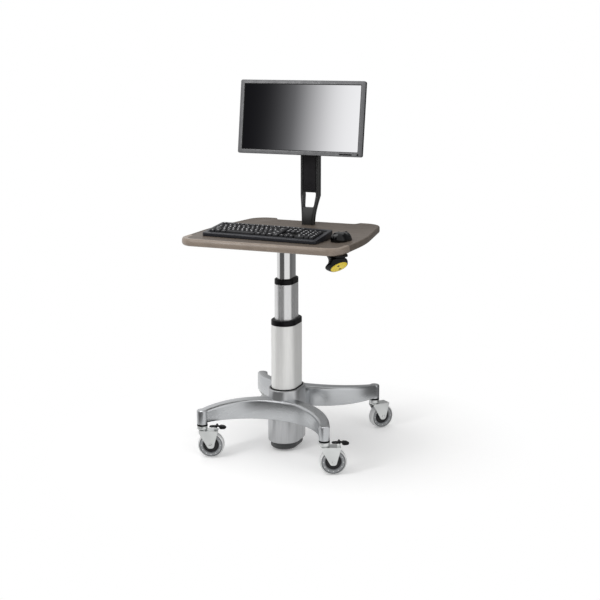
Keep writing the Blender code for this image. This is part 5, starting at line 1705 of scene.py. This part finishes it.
@dataclass
class Keyboard:
    """A wedge-shaped keyboard with a main block, a navigation block and a number pad."""

    width: float = 0.464
    depth: float = 0.163
    turn: float = -3.0
    front_height: float = 0.013
    back_height: float = 0.031
    corner: float = 0.012
    pitch: float = 0.0190
    gap: float = 0.0024
    key_height: float = 0.0060
    key_travel: float = 0.003
    well: float = 0.0080
    margin: float = 0.003
    row_gap: float = 0.35
    units: float = 22.5
    starts: Point3 = (0.0, 15.25, 18.5)
    bar_start: float = 3.75
    bar_units: float = 6.25
    bar_gap: float = 0.0004
    seat_gap: float = 0.0003
    foot_ease: float = 0.0015
    deck_round: float = 0.003
    case_bevel: float = 0.0006
    key_tilt: float = 0.006
    letter: float = 0.0080
    letter_aside: Point2 = (-0.0016, 0.0012)
    word: float = 0.0046
    word_aside: Point2 = (0.0, 0.0010)
    lamps: int = 3
    lamp_spot: Point2 = (19.2, 5.9)
    lamp_profile: tuple[Point2, ...] = ((0.0012, -0.001), (0.0012, 0.0003), (0.0008, 0.0006))
    main: tuple[str, ...] = (
        "Esc _1 F1 F2 F3 F4 _.5 F5 F6 F7 F8 _.5 F9 F10 F11 F12",
        "` 1 2 3 4 5 6 7 8 9 0 - = Back:2",
        "Tab:1.5 Q W E R T Y U I O P [ ] /:1.5",
        "Caps:1.75 A S D F G H J K L ; ' Enter:2.25",
        "Shift:2.25 Z X C V B N M , . / Shift:2.75",
        "Ctrl:1.25 Fn:1.25 Alt:1.25 _6.25 Alt:1.25 Fn:1.25 Menu:1.25 Ctrl:1.25",
    )
    arrows: tuple[str, ...] = ("Prt Scr Brk", "Ins Hom PUp", "Del End PDn", "", "_1 ^ _1", "< v >")
    pad: tuple[str, ...] = ("", "Num = / *", "7 8 9 -", "4 5 6 +", "1 2 3 Ent", "0:2 . Ent")

    @property
    def slope(self) -> float:
        """Rise of the deck along its depth."""
        return (self.back_height - self.front_height) / self.depth

    @property
    def middle_height(self) -> float:
        """Height of the deck's middle."""
        return (self.back_height + self.front_height) / 2

    @property
    def half_field(self) -> Point2:
        """Half the size of the key field."""
        return self.units * self.pitch / 2, (len(self.main) + self.row_gap) * self.pitch / 2

    def keys(self) -> list[Key]:
        """Every key but the space bar, read from the rows."""
        found: list[Key] = []
        half_x, half_y = self.half_field
        for index in range(len(self.main)):
            step = len(self.main) - 1 - index + (self.row_gap if index == 0 else 0.0)
            for start, block in zip(self.starts, (self.main, self.arrows, self.pad)):
                along = start
                for token in block[index].split():
                    if token.startswith("_"):
                        along += float(token[1:])
                        continue
                    legend, _, size = token.partition(":")
                    units = float(size) if size else 1.0
                    middle = ((along + units / 2) * self.pitch - half_x, (step + 0.5) * self.pitch - half_y)
                    found.append(Key(legend, middle, units))
                    along += units
        return found

    def cap(self, units: float) -> Solid:
        """A key cap with sloping sides and a dished top, about its own middle."""
        half_x = (units * self.pitch - self.gap) / 2
        half_y = (self.pitch - self.gap) / 2
        foot = -self.key_travel
        marks = ((0.0, foot, 0.0012), (0.0003, 0.0008, 0.0014), (0.0012, self.key_height - 0.0012, 0.0020),
                 (0.0018, self.key_height - 0.0003, 0.0024), (0.0026, self.key_height, 0.0024),
                 (0.0046, self.key_height - 0.0004, 0.0020))
        rows = [lift(rectangle(half_x - inset, half_y - inset, corner, 2), z) for inset, z, corner in marks]
        return Solid().loft(rows)

    def case(self) -> Solid:
        """The wedge with round edges, before the key well is cut."""
        outline = rectangle(self.width / 2, self.depth / 2, self.corner, 8)
        rows = [lift(drawn_in(outline, self.foot_ease), 0.0), lift(outline, self.foot_ease)]
        edge = self.deck_round
        for inset, rise in quarter(edge, 4):
            ring = drawn_in(outline, inset)
            rows.append([Vector((x, y, self.middle_height + self.slope * y - edge + rise)) for x, y in ring])
        return Solid().loft(rows)

    def build(self, kit: Kit) -> None:
        """Make the case, the key field, the legends and the space bar."""
        low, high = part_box("keyboard_case")
        spot = Vector(((low.x + high.x) / 2, (low.y + high.y) / 2, low.z))
        place = shift(spot) @ spin(self.turn, "Z")
        key_field = place @ shift((0, 0, self.middle_height)) @ Matrix.Rotation(math.atan(self.slope), 4, "X")
        half_x, half_y = self.half_field
        reach = (half_x + self.margin, half_y + self.margin)
        room = Solid().block((-reach[0], -reach[1], -self.well), (reach[0], reach[1], self.back_height))
        case = carve(self.case().place(place), room.place(key_field))
        seat = Seat("keyboard", "keyboard_plastic", ("keyboard_case",))
        kit.make("keyboard_shell", case, "case", seat, self.case_bevel)

        gap = self.seat_gap
        plate = Solid().block((-reach[0] + gap, -reach[1] + gap, gap - self.well),
                              (reach[0] - gap, reach[1] - gap, -self.key_travel - gap))
        middle = ((self.bar_start + self.bar_units / 2) * self.pitch - half_x, self.pitch / 2 - half_y, 0.0)
        bar_x = self.bar_units * self.pitch / 2 - self.bar_gap
        bar_y = self.pitch / 2 - self.bar_gap
        sink = Solid().block((-bar_x, -bar_y, -2 * self.key_travel - 2 * gap), (bar_x, bar_y, 0.0))
        plate = carve(plate, sink.place(shift(middle)))
        seat = Seat("keyboard", "keyboard_plastic", ("keyboard_keys",))
        kit.make("key_membrane", plate.place(key_field), "seal", seat)
        self.build_keys(kit, key_field)
        bar = self.cap(self.bar_units).place(key_field @ shift(middle))
        kit.make("space_bar_look", bar, "keys", Seat("space_key", "keyboard_plastic", ("space_bar",)))

    def build_keys(self, kit: Kit, key_field: Matrix) -> None:
        """Make the key caps, their legends and the lock lamps."""
        seat = Seat("keyboard", "keyboard_plastic")
        keys = self.keys()
        caps = Solid()
        for units in sorted({key.units for key in keys}):
            spots = [Vector((*key.middle, 0.0)) for key in keys if key.units == units]
            cap = self.cap(units)
            made = kit.trees.dots.grow(cap, kit.palette["keys"], spots, tilt=self.key_tilt, seed=11)
            caps.add(Solid.from_mesh(made))
        kit.make("key_caps", caps.place(key_field), "keys", seat)

        signs = Solid()
        for key in keys:
            single = len(key.legend) == 1
            aside = self.letter_aside if single else self.word_aside
            where = (key.middle[0] + aside[0], key.middle[1] + aside[1], self.key_height - 0.0001)
            sign = lettering(key.legend, self.letter if single else self.word)
            signs.add(sign.place(shift(where)))
        kit.make("key_legends", signs.place(key_field), "legend", seat)

        half_x, half_y = self.half_field
        across, along = self.lamp_spot
        start = (across * self.pitch - half_x, along * self.pitch - half_y, -self.key_travel)
        kit.repeat("lock_lamps", kit.trees.row, Solid().turn(self.lamp_profile, 12), "lamp", seat, key_field,
                   count=self.lamps, start=start, step=(self.pitch, 0.0, 0.0))


@dataclass
class Mouse:
    """A mouse with two buttons and a ribbed scroll wheel, its front toward local +Y."""

    half_width: float = 0.029
    half_length: float = 0.054
    height: float = 0.034
    turn: float = -9.0
    squareness: float = 0.8
    crown: float = 0.08
    bulge: float = 0.55
    lean_back: float = 0.009
    dip: float = 0.15
    dip_forward: float = 0.012
    dip_length: float = 0.013
    button_length: float = 0.046
    button_depth: float = 0.006
    button_drop: float = 0.0014
    split: float = 0.0009
    gap: float = 0.0005
    wheel_radius: float = 0.011
    wheel_half: float = 0.0035
    wheel_forward: float = 0.034
    wheel_height: float = 0.019
    wheel_room: float = 0.0008
    pit_depth: float = 0.0012
    teeth: int = 28
    tooth: float = 0.0006
    tooth_half: float = 0.0004
    bevel: float = 0.0003
    rings: int = 16
    steps: int = 56

    def body(self) -> Solid:
        """The whole outer form."""
        rows: list[Row] = []
        for k in range(self.rings + 1):
            angle = math.pi / 2 * k / self.rings
            draw = max(math.cos(angle), self.crown) ** self.bulge
            slip = -self.lean_back * math.sin(angle)
            row: Row = []
            for j in range(self.steps):
                around = 2 * math.pi * j / self.steps
                way = (math.cos(around), math.sin(around))
                x, y = (math.copysign(abs(v) ** self.squareness, v) for v in way)
                along = self.half_length * draw * y + slip
                sag = 1 - self.dip * math.exp(-((along - self.dip_forward) / self.dip_length) ** 2)
                row.append(Vector((self.half_width * draw * x, along, self.height * math.sin(angle) * sag)))
            rows.append(row)
        return Solid().loft(rows)

    def build(self, kit: Kit) -> None:
        """Make the shell, the buttons and the wheel."""
        spot = kit.frame.middle("mouse_shell")
        spot.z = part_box("mouse_shell")[0].z
        place = shift(spot) @ spin(self.turn, "Z")
        split_height = self.height - 3 * self.button_depth
        back = self.half_length - self.button_length
        far = 2 * self.half_length
        room = Solid().block((-far, back - self.gap, split_height - self.button_drop), (far, far, far))
        shell = carve(self.body(), room)
        half = self.wheel_half + self.wheel_room
        reach = self.wheel_radius + self.wheel_room
        near, ahead = self.wheel_forward - reach, self.wheel_forward + reach
        pit_low = self.wheel_height - self.wheel_radius - self.pit_depth
        shell = carve(shell, Solid().block((-half, near, pit_low), (half, ahead, far))).place(place)
        seat = Seat("mouse", "black_gloss", ("mouse_shell",))
        kit.make("mouse_shell_look", shell, "mouse", seat, self.bevel)
        for side, label in ((-1, "left"), (1, "right")):
            ends = sorted((side * self.split / 2, side * far))
            keep = Solid().block((ends[0], back, split_height), (ends[1], far, far))
            button = carve(self.body(), keep, Cut.KEEP)
            button = carve(button, Solid().block((-half, near, 0), (half, far, far)))
            seat = Seat(f"mouse_{label}", "black_gloss", (f"mouse_{label}_button",))
            kit.make(f"mouse_{label}_look", button.place(place), "mouse", seat, self.bevel)
        edge = self.wheel_half / 2
        rim = self.wheel_radius - self.tooth
        profile = [(rim - edge, -self.wheel_half), (rim, -edge), (rim, edge), (rim - edge, self.wheel_half)]
        hub = place @ shift((0, self.wheel_forward, self.wheel_height)) @ TO_X
        seat = Seat("mouse_scroll", "black_plastic", ("mouse_wheel",))
        kit.make("mouse_wheel_look", Solid().turn(profile, 40).place(hub), "seal", seat)
        thick = self.tooth_half
        tooth = Solid().block((-thick, -thick, -edge), (self.tooth, thick, edge))
        seat = Seat("mouse_scroll", "black_plastic")
        kit.repeat("mouse_wheel_ribs", kit.trees.ring, tooth, "seal", seat, hub, count=self.teeth, radius=rim)


# Post and monitor


@dataclass
class Post:
    """The black monitor post with its swept foot, its cable window and its ribbed front panel."""

    forward: float = 0.248
    half_width: float = 0.0395
    half_depth: float = 0.015
    foot_forward: float = 0.2240
    foot_half_width: float = 0.0276
    foot_half_depth: float = 0.0130
    sweep: float = 0.1125
    corner: float = 0.007
    foot_corner: float = 0.0122
    low: float = 0.8445
    window_low: float = 0.9105
    window_high: float = 0.9705
    window_half: tuple[float, float] = (0.0225, 0.0275)
    high: float = 1.2995
    pocket_half: float = 0.028
    panel_half: float = 0.0262
    panel_low: float = 0.9785
    panel_high: float = 1.2175
    pocket: float = 0.004
    panel_thick: float = 0.003
    ribs: int = 4
    rib_pitch: float = 0.008
    foot_ease: float = 0.0008
    top_round: float = 0.0035
    sweep_steps: int = 20
    window_radii: Station = (0.004, 0.012, 0.004, 0.004)
    gap: float = 0.0003
    bevel: float = 0.0012
    panel_bevel: float = 0.0006

    def section(self, half: Point2, corner: float, middle: float, height: float) -> Row:
        """A round-cornered section about a middle line at a height."""
        return [Vector((x, y + middle, height)) for x, y in rectangle(*half, corner, 8)]

    def sections(self) -> list[Row]:
        """The sections from the foot through the sweep to the top."""
        ease_in = self.foot_ease
        foot = (self.foot_half_width - ease_in, self.foot_half_depth - ease_in)
        rows = [self.section(foot, self.foot_corner - ease_in, self.foot_forward, self.low)]
        for k in range(self.sweep_steps + 1):
            share = k / self.sweep_steps
            pull = math.cos(math.pi / 2 * share)
            half = (self.half_width + (self.foot_half_width - self.half_width) * pull,
                    self.half_depth + (self.foot_half_depth - self.half_depth) * pull)
            corner = self.corner + (self.foot_corner - self.corner) * pull
            middle = self.forward + (self.foot_forward - self.forward) * pull
            height = self.low + ease_in + (self.sweep - ease_in) * share
            rows.append(self.section(half, corner, middle, height))
        for inset, height in upper_edge(self.high, self.top_round, 4):
            half = (self.half_width - inset, self.half_depth - inset)
            rows.append(self.section(half, self.corner - inset * 0.6, self.forward, height))
        return rows

    def build(self, kit: Kit) -> None:
        """Make the post and its panel."""
        place = shift(kit.frame.column)
        post = Solid().loft(self.sections())
        narrow, wide = self.window_half
        corners = ((-narrow, self.window_low), (narrow, self.window_low), (wide, self.window_high),
                   (-wide, self.window_high))
        outline = rounded(corners, self.window_radii, 8)
        near, far = self.foot_forward - 2 * self.half_depth, self.forward + 2 * self.half_depth
        post = carve(post, Solid().loft([stand(outline, near), stand(outline, far)]))
        gap = self.gap
        front = self.forward - self.half_depth
        pocket = Solid().block((-self.pocket_half - gap, near, self.panel_low - gap),
                               (self.pocket_half + gap, front + self.pocket, self.panel_high + gap))
        post = carve(post, pocket).place(place)
        seat = Seat("top_stage", "black_gloss", ("monitor_post",))
        kit.make("monitor_post_look", post, "paint", seat, self.bevel)
        back = front + self.pocket - gap
        face = back - self.panel_thick
        wide = self.panel_half
        panel = Solid().block((-wide, face, self.panel_low), (wide, back, self.panel_high)).place(place)
        seat = Seat("top_stage", "black_plastic", ("post_panel",))
        kit.make("post_panel_look", panel, "panel", seat, self.panel_bevel)
        rib = Solid().slab(rectangle(wide * 0.86, 0.0012, 0.001, 3), -0.0004, 0.0012, 0.0005, 2)
        rib.place(spin(90, "X"))
        start = (0.0, face, self.panel_low + self.rib_pitch / 2)
        kit.repeat("post_panel_ribs", kit.trees.row, rib, "panel", Seat("top_stage", "black_plastic"), place,
                   count=self.ribs, start=start, step=(0.0, 0.0, self.rib_pitch))


@dataclass
class Monitor:
    """The tilting monitor, its mount and the bracket. Local frame on the pin; the screen faces local -Y."""

    lean: float = -8.1
    front: float = 0.0663
    width: float = 0.510
    height: float = 0.282
    corner: float = 0.007
    side: float = 0.0155
    top: float = 0.014
    bottom: float = 0.0155
    bezel: float = 0.004
    edge: float = 0.0012
    screen_thick: float = 0.008
    edge_depth: float = 0.016
    bulge_depth: float = 0.046
    bulge_inset: float = 0.055
    gap: float = 0.0003
    mount_half: float = 0.055
    mount_plate: float = 0.004
    knuckle: float = 0.009
    knuckle_half: float = 0.018
    ear: float = 0.012
    ear_width: float = 0.008
    pin: float = 0.004
    pin_head: float = 0.007
    post_front: float = 0.0295
    bracket_back: float = 0.006
    bracket_half: float = 0.030
    menu_from_side: float = 0.040
    menu_length: float = 0.050
    menu_height: float = 0.004
    menu_count: int = 5
    power_from_side: float = 0.016
    power_radius: float = 0.0035
    proud: float = 0.0008
    button_body: float = 0.0020
    button_room: float = 0.0004
    hole_ends: Point2 = (-0.004, 0.0060)
    glass_lap: float = 0.003
    line_gap: float = 0.0001
    line_width: float = 0.0022
    line_depth: float = 0.0016
    back_round: float = 0.003
    back_steps: int = 8
    vents: int = 44
    vent_pitch: float = 0.0078
    vent_height: float = 0.068
    screw: Point2 = (0.0045, 0.0022)
    screw_inset: float = 0.007
    running_gap: float = 0.0004
    pin_end: float = 0.003
    pin_edge: float = 0.0006
    bracket_bevel: float = 0.0008
    screen_sharp: float = 20.0

    def upright(self, half_width: float, low: float, high: float, corner: float, depth: float) -> Row:
        """A round-cornered upright rectangle at a depth behind the front."""
        return stand(rounded(box_corners(half_width, low, high), [corner] * 4, 6), depth - self.front)

    def box(self, inset: float, depth: float) -> Row:
        """The monitor's outline moved in, at a depth."""
        half = self.height / 2 - inset
        return self.upright(self.width / 2 - inset, -half, half, max(self.corner - inset, 0.001), depth)

    def view(self, grow: float, depth: float) -> Row:
        """The visible screen's outline grown outward, at a depth."""
        low = -self.height / 2 + self.bottom - grow
        high = self.height / 2 - self.top + grow
        return self.upright(self.width / 2 - self.side + grow, low, high, 0.0012, depth)

    @staticmethod
    def screen_middle() -> Vector:
        """The middle of the screen node."""
        low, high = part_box("monitor_screen")
        return (low + high) / 2

    def build(self, kit: Kit) -> None:
        """Make the mount, the shell, the screen, the bezel and the buttons."""
        pivot = kit.frame.at("monitor_tilt")
        tilt = shift(pivot) @ spin(self.lean, "X")
        self.build_front(kit, tilt)
        self.build_back(kit, tilt)
        self.build_mount(kit, tilt)
        self.build_bracket(kit, shift(pivot))

    def build_front(self, kit: Kit, tilt: Matrix) -> None:
        """Make the bezel, the dark line inside it, the screen and the buttons."""
        strip = -self.height / 2 + self.bottom / 2
        power_x = self.width / 2 - self.power_from_side
        menu_right = self.width / 2 - self.menu_from_side
        rows = [self.box(0.0, self.bezel)]
        rows += [self.box(inset, self.edge - rise) for inset, rise in quarter(self.edge, 3)]
        rows += [self.view(self.edge - inset, inset) for inset in (0.0, self.edge * 0.5, self.edge)]
        rows.append(self.view(0.0, self.bezel))
        bezel = Solid().loft(rows, ring=True)
        power_place = shift((power_x, -self.front, strip)) @ TO_Y
        room = self.button_room
        hole = Solid().rod(self.power_radius + room, *self.hole_ends)
        bezel = carve(bezel, hole.place(power_place))
        half = self.menu_height / 2 + room
        near, far = (-self.front + end for end in self.hole_ends)
        slot = Solid().block((menu_right - self.menu_length - room, near, strip - half),
                             (menu_right + room, far, strip + half))
        bezel = carve(bezel, slot).place(tilt)
        kit.make("bezel_look", bezel, "bezel", Seat("monitor", "bezel_plastic", ("monitor_bezel",)))

        shallow = self.bezel - self.line_depth
        marks = ((self.line_gap, self.bezel), (self.line_gap, shallow), (self.line_width, shallow),
                 (self.line_width, self.bezel))
        line = Solid().loft([self.view(-inset, depth) for inset, depth in marks], ring=True)
        kit.make("screen_edge", line.place(tilt), "seal", Seat("monitor", "black_plastic"))

        glass = self.bezel + self.gap
        depths = (glass + self.screen_thick, glass)
        panel = Solid().loft([self.view(self.glass_lap, depth) for depth in depths]).place(tilt)
        seat = Seat("monitor", "screen_panel", ("monitor_screen",))
        kit.make("screen_look", panel, "screen", seat, sharp=self.screen_sharp)

        cap = [(self.power_radius, self.button_body), (self.power_radius, 0.0003 - self.proud),
               (self.power_radius - 0.0004, -self.proud)]
        power = Solid().turn(cap, 24).place(power_place).place(tilt)
        seat = Seat("monitor_power", "black_plastic", ("monitor_power_button",))
        kit.make("power_look", power, "plastic", seat)

        pitch = self.menu_length / self.menu_count
        outline = rectangle(pitch * 0.42, self.menu_height / 2, 0.0012, 3)
        button = Solid().slab(outline, -self.button_body, self.proud, 0.0003, 2).place(spin(90, "X"))
        start = (menu_right - self.menu_length + pitch / 2, -self.front, strip)
        seat = Seat("monitor_menu", "black_plastic", ("monitor_menu_buttons",))
        kit.repeat("menu_look", kit.trees.row, button, "plastic", seat, tilt, count=self.menu_count,
                   start=start, step=(pitch, 0.0, 0.0))

    def build_back(self, kit: Kit, tilt: Matrix) -> None:
        """Make the back shell with its vents."""
        room = self.gap + self.glass_lap
        start = self.bezel + self.gap
        rows = [self.view(room, start + self.screen_thick + self.gap), self.view(room, start)]
        rows += [self.box(0.0, start), self.box(0.0, self.edge_depth)]
        rows += [self.box(inset, self.edge_depth + rise) for inset, rise in quarter(self.corner, 5)[1:]]
        deep = self.bulge_depth - self.back_round
        first = self.edge_depth + self.corner
        for k in range(1, self.back_steps + 1):
            share = k / self.back_steps
            inset = self.corner + (self.bulge_inset - self.corner) * share
            rows.append(self.box(inset, first + (deep - first) * ease(share)))
        rim = quarter(self.back_round, 4)[1:]
        rows += [self.box(self.bulge_inset + inset, deep + rise) for inset, rise in rim]
        seat = Seat("monitor", "black_plastic", ("monitor_back",))
        kit.make("monitor_back_look", Solid().loft(rows).place(tilt), "plastic", seat)
        vent = Solid().slab(rectangle(0.0013, 0.009, 0.0012, 3), -0.0005, 0.0008, 0.0004, 2)
        pitch = self.vent_pitch
        start = (-pitch * (self.vents - 1) / 2, self.bulge_depth - self.front, self.vent_height)
        vent.place(spin(-90, "X"))
        kit.repeat("monitor_vents", kit.trees.row, vent, "plastic", Seat("monitor", "black_plastic"), tilt,
                   count=self.vents, start=start, step=(pitch, 0.0, 0.0))

    def build_mount(self, kit: Kit, tilt: Matrix) -> None:
        """Make the plate on the monitor's back, its screws and its knuckle."""
        near = self.bulge_depth - self.front + self.gap
        far = near + self.mount_plate
        square = rectangle(self.mount_half, self.mount_half, 0.006, 6)
        plate = Solid().slab(square, -far, -near, 0.001, 2).place(spin(90, "X"))
        barrel = Solid().rod(self.knuckle, -self.knuckle_half, self.knuckle_half, 40).place(TO_X)
        half = self.knuckle_half - self.gap
        neck_half = self.knuckle - self.gap
        neck = Solid().block((-half, far - self.mount_plate / 2, -neck_half), (half, 0.0, neck_half))
        mount = carve(carve(plate, barrel, Cut.JOIN), neck, Cut.JOIN)
        running = self.pin + self.running_gap
        bore = Solid().rod(running, -2 * self.knuckle_half, 2 * self.knuckle_half).place(TO_X)
        mount = carve(mount, bore).place(tilt)
        kit.make("mount_look", mount, "plastic", Seat("monitor", "black_plastic", ("monitor_mount",)))
        head = screw_head(*self.screw).place(spin(-90, "X"))
        reach = self.mount_half - self.screw_inset
        spots = [Vector((x * reach, far, z * reach)) for x in (-1, 1) for z in (-1, 1)]
        kit.repeat("mount_screws", kit.trees.dots, head, "steel", Seat("monitor", "steel"), tilt,
                   points=spots, tilt=0.0, seed=5)

    def build_bracket(self, kit: Kit, pivot: Matrix) -> None:
        """Make the bracket with two ears on the post, and the pin."""
        inside = self.knuckle_half + self.running_gap
        outside = inside + self.ear_width
        face = self.post_front - self.gap
        plate = Solid().block((-outside, face - self.bracket_back, -self.bracket_half),
                              (outside, face, self.bracket_half))
        root = face - self.bracket_back / 2
        outline = arc((0.0, 0.0), self.ear, 90, 270, 14) + [(root, -self.ear), (root, self.ear)]
        for side in (-1, 1):
            ends = sorted((side * inside, side * outside))
            ear = Solid().loft([[Vector((x, y, z)) for y, z in outline] for x in ends])
            plate = carve(plate, ear, Cut.JOIN)
        bore = Solid().rod(self.pin + self.gap, -2 * outside, 2 * outside).place(TO_X)
        bracket = carve(plate, bore).place(pivot)
        seat = Seat("top_stage", "black_plastic", ("tilt_bracket",))
        kit.make("tilt_bracket_look", bracket, "plastic", seat, self.bracket_bevel)
        near = outside + self.gap
        far = near + self.pin_end
        head = self.pin_head
        edge = self.pin_edge
        profile = [(head - edge, -far), (head, -far + edge), (head, -near), (self.pin, -near)]
        profile += [(r, -x) for r, x in reversed(profile)]
        pin = Solid().turn(profile, 32).place(pivot @ TO_X)
        kit.make("tilt_pin_look", pin, "steel", Seat("top_stage", "steel", ("tilt_pin",)))


# What is left of the frame, and the stage


def carry_over(kit: Kit) -> None:
    """Give the frame's inside pieces, which stay as they are, their finishes."""
    kept = {"gas_spring_cylinder": "paint", "gas_spring_rod": "steel"}
    kept.update({f"caster_{corner.value}_stem": "steel" for corner in Corner})
    for name, finish in kept.items():
        mesh = kit.frame.nodes[name].data
        mesh.materials.clear()
        mesh.materials.append(kit.palette[finish])
        LOG.info("%s is kept as it is in the frame", name)


@dataclass(frozen=True)
class Lamp:
    """A soft lamp: its place, its width and height, and its power in watts."""

    name: str
    place: Point3
    size: Point2
    power: float


@dataclass
class Studio:
    """A white floor, soft lamps, a light tent that only reflections see, and the photograph's camera."""

    camera: Point3 = (1.701652, -4.104033, 1.5546)
    pitch: float = 77.543
    yaw: float = 22.244
    lens: float = 70.57
    sensor: float = 36.0
    room: float = 0.55
    floor_reach: float = 40.0
    floor_tone: float = 0.9
    floor_roughness: float = 0.9
    floor_glow: float = 0.20
    floor_near: float = 0.50
    floor_far: float = 0.95
    tent_wall: tuple[Point2, ...] = ((0.72, 0.0), (0.90, 0.25), (1.20, 0.85), (1.40, 1.50), (1.50, 1.80))
    tent_tones: tuple[Point2, ...] = (
        (-180, 0.36), (-152, 0.38), (-140, 0.90), (-62, 0.90), (-48, 0.12), (14, 0.11), (24, 0.95),
        (100, 0.95), (114, 0.16), (150, 0.16), (180, 0.36),
    )
    lamps: tuple[Lamp, ...] = (
        Lamp("key", (-1.25, -2.55, 1.95), (0.45, 1.3), 22.0),
        Lamp("top", (-0.5, -0.4, 3.0), (2.0, 2.0), 34.0),
        Lamp("side", (3.0, -1.2, 1.8), (1.2, 1.2), 8.0),
    )
    lamp_aim: Point3 = (0.0, 0.0, 0.7)

    def build(self, frame: Frame) -> None:
        """Set the stage."""
        scene = bpy.context.scene
        scene.view_settings.view_transform = "Standard"
        self.build_camera(scene)
        self.build_world(scene)
        self.build_floor(frame)
        self.build_tent(frame)
        for lamp in self.lamps:
            self.build_lamp(lamp)

    def build_camera(self, scene: bpy.types.Scene) -> None:
        """Aim the camera as in the photograph."""
        data = bpy.data.cameras.new("camera")
        data.lens = self.lens
        data.sensor_width = self.sensor
        camera = bpy.data.objects.new("camera", data)
        camera.location = self.camera
        camera.rotation_euler = (math.radians(self.pitch), 0.0, math.radians(self.yaw))
        scene.collection.objects.link(camera)
        scene.camera = camera

    @staticmethod
    def seen(net: Net) -> Socket:
        """1 for rays that show the background: the camera's, reflected ones and ones through glass."""
        path = net.node("ShaderNodeLightPath").outputs
        straight = net.math("MAXIMUM", path["Is Camera Ray"], path["Is Glossy Ray"])
        return net.math("MAXIMUM", straight, path["Is Transmission Ray"])

    def build_world(self, scene: bpy.types.Scene) -> None:
        """An even room light that shows as plain white."""
        world = bpy.data.worlds.new("studio")
        world.use_nodes = True
        scene.world = world
        net = Net(world.node_tree)
        strength = net.remap(self.seen(net), 0.0, 1.0, self.room, 1.0)
        net.fill(net.tree.nodes["Background"], {"Color": (1.0, 1.0, 1.0), "Strength": strength})

    def build_floor(self, frame: Frame) -> None:
        """A wide white floor that keeps the cart's shadow and is plain white further off."""
        solid = Solid()
        far = self.floor_reach
        solid.mesh.faces.new([solid.mesh.verts.new(spot) for spot in lift(box_corners(far, -far, far), 0.0)])
        material = bpy.data.materials.new("white floor")
        material.use_nodes = True
        net = Net(material.node_tree)
        seen = self.seen(net)
        shader = net.tree.nodes["Principled BSDF"]
        net.fill(shader, {
            "Base Color": (self.floor_tone,) * 3,
            "Roughness": self.floor_roughness,
            "Specular IOR Level": 0.0,
            "Emission Color": (1.0, 1.0, 1.0),
            "Emission Strength": net.math("MULTIPLY", seen, self.floor_glow),
        })
        middle = net.mapped(net.where(), centre=frame.base)
        away = net.node("ShaderNodeVectorMath", {0: middle}, operation="LENGTH")
        outside = net.remap(away.outputs["Value"], self.floor_near, self.floor_far)
        choice = net.node("ShaderNodeMixShader", {
            "Fac": net.math("MULTIPLY", seen, outside),
            1: shader.outputs["BSDF"],
            2: net.node("ShaderNodeEmission").outputs["Emission"],
        })
        net.fill(net.tree.nodes["Material Output"], {"Surface": choice.outputs["Shader"]})
        self.set_stage("floor", solid, material)

    def build_tent(self, frame: Frame) -> None:
        """A ring of pale and dark cloth round the cart, which only reflections see."""
        solid = Solid().loft([lift(circle(radius, 96), z) for radius, z in self.tent_wall])
        ends = [face for face in solid.mesh.faces if len(face.verts) > 4]
        bmesh.ops.delete(solid.mesh, geom=ends, context="FACES_ONLY")
        solid.place(shift(frame.column))
        material = bpy.data.materials.new("tent cloth")
        material.use_nodes = True
        net = Net(material.node_tree)
        parts = net.split(net.mapped(net.where(), centre=frame.column))
        angle = net.math("ARCTAN2", parts["X"], net.math("MULTIPLY", parts["Y"], -1.0))
        share = net.remap(angle, -math.pi, math.pi)
        stops = [(0.5 + turn / 360, (tone,) * 3) for turn, tone in self.tent_tones]
        cloth = net.node("ShaderNodeEmission", {"Color": net.ramp(share, stops, "LINEAR")})
        net.fill(net.tree.nodes["Material Output"], {"Surface": cloth.outputs["Emission"]})
        tent = self.set_stage("tent", solid, material)
        tent.visible_camera = False
        tent.visible_diffuse = False
        tent.visible_transmission = False
        tent.visible_shadow = False

    @staticmethod
    def set_stage(name: str, solid: Solid, material: Material) -> Thing:
        """Add an object that isn't part of the cart."""
        made = new_object(name, solid.to_mesh(name))
        made.data.materials.append(material)
        return made

    def build_lamp(self, lamp: Lamp) -> None:
        """Hang a lamp that looks at the cart's middle."""
        data = bpy.data.lights.new(lamp.name, "AREA")
        data.shape = "RECTANGLE"
        data.size, data.size_y = lamp.size
        data.energy = lamp.power
        hung = new_object(lamp.name, data)
        hung.location = lamp.place
        aim = Vector(self.lamp_aim) - Vector(lamp.place)
        hung.rotation_euler = aim.to_track_quat("-Z", "Y").to_euler()


def main() -> None:
    """Load the frame, dress it and set the stage."""
    logging.basicConfig(level=logging.INFO, format="%(name)s: %(message)s")
    frame = Frame(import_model())
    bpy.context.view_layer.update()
    kit = Kit(frame, Palette(Monitor.screen_middle()), Trees())
    for kind in (BaseRails, Hub, Casters, Column, WorkSurface, ReleaseKnob, Keyboard, Mouse, Post, Monitor):
        LOG.info("building %s", kind.__name__)
        kind().build(kit)
    carry_over(kit)
    Studio().build(frame)
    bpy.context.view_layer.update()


if __name__ == "__main__":
    main()
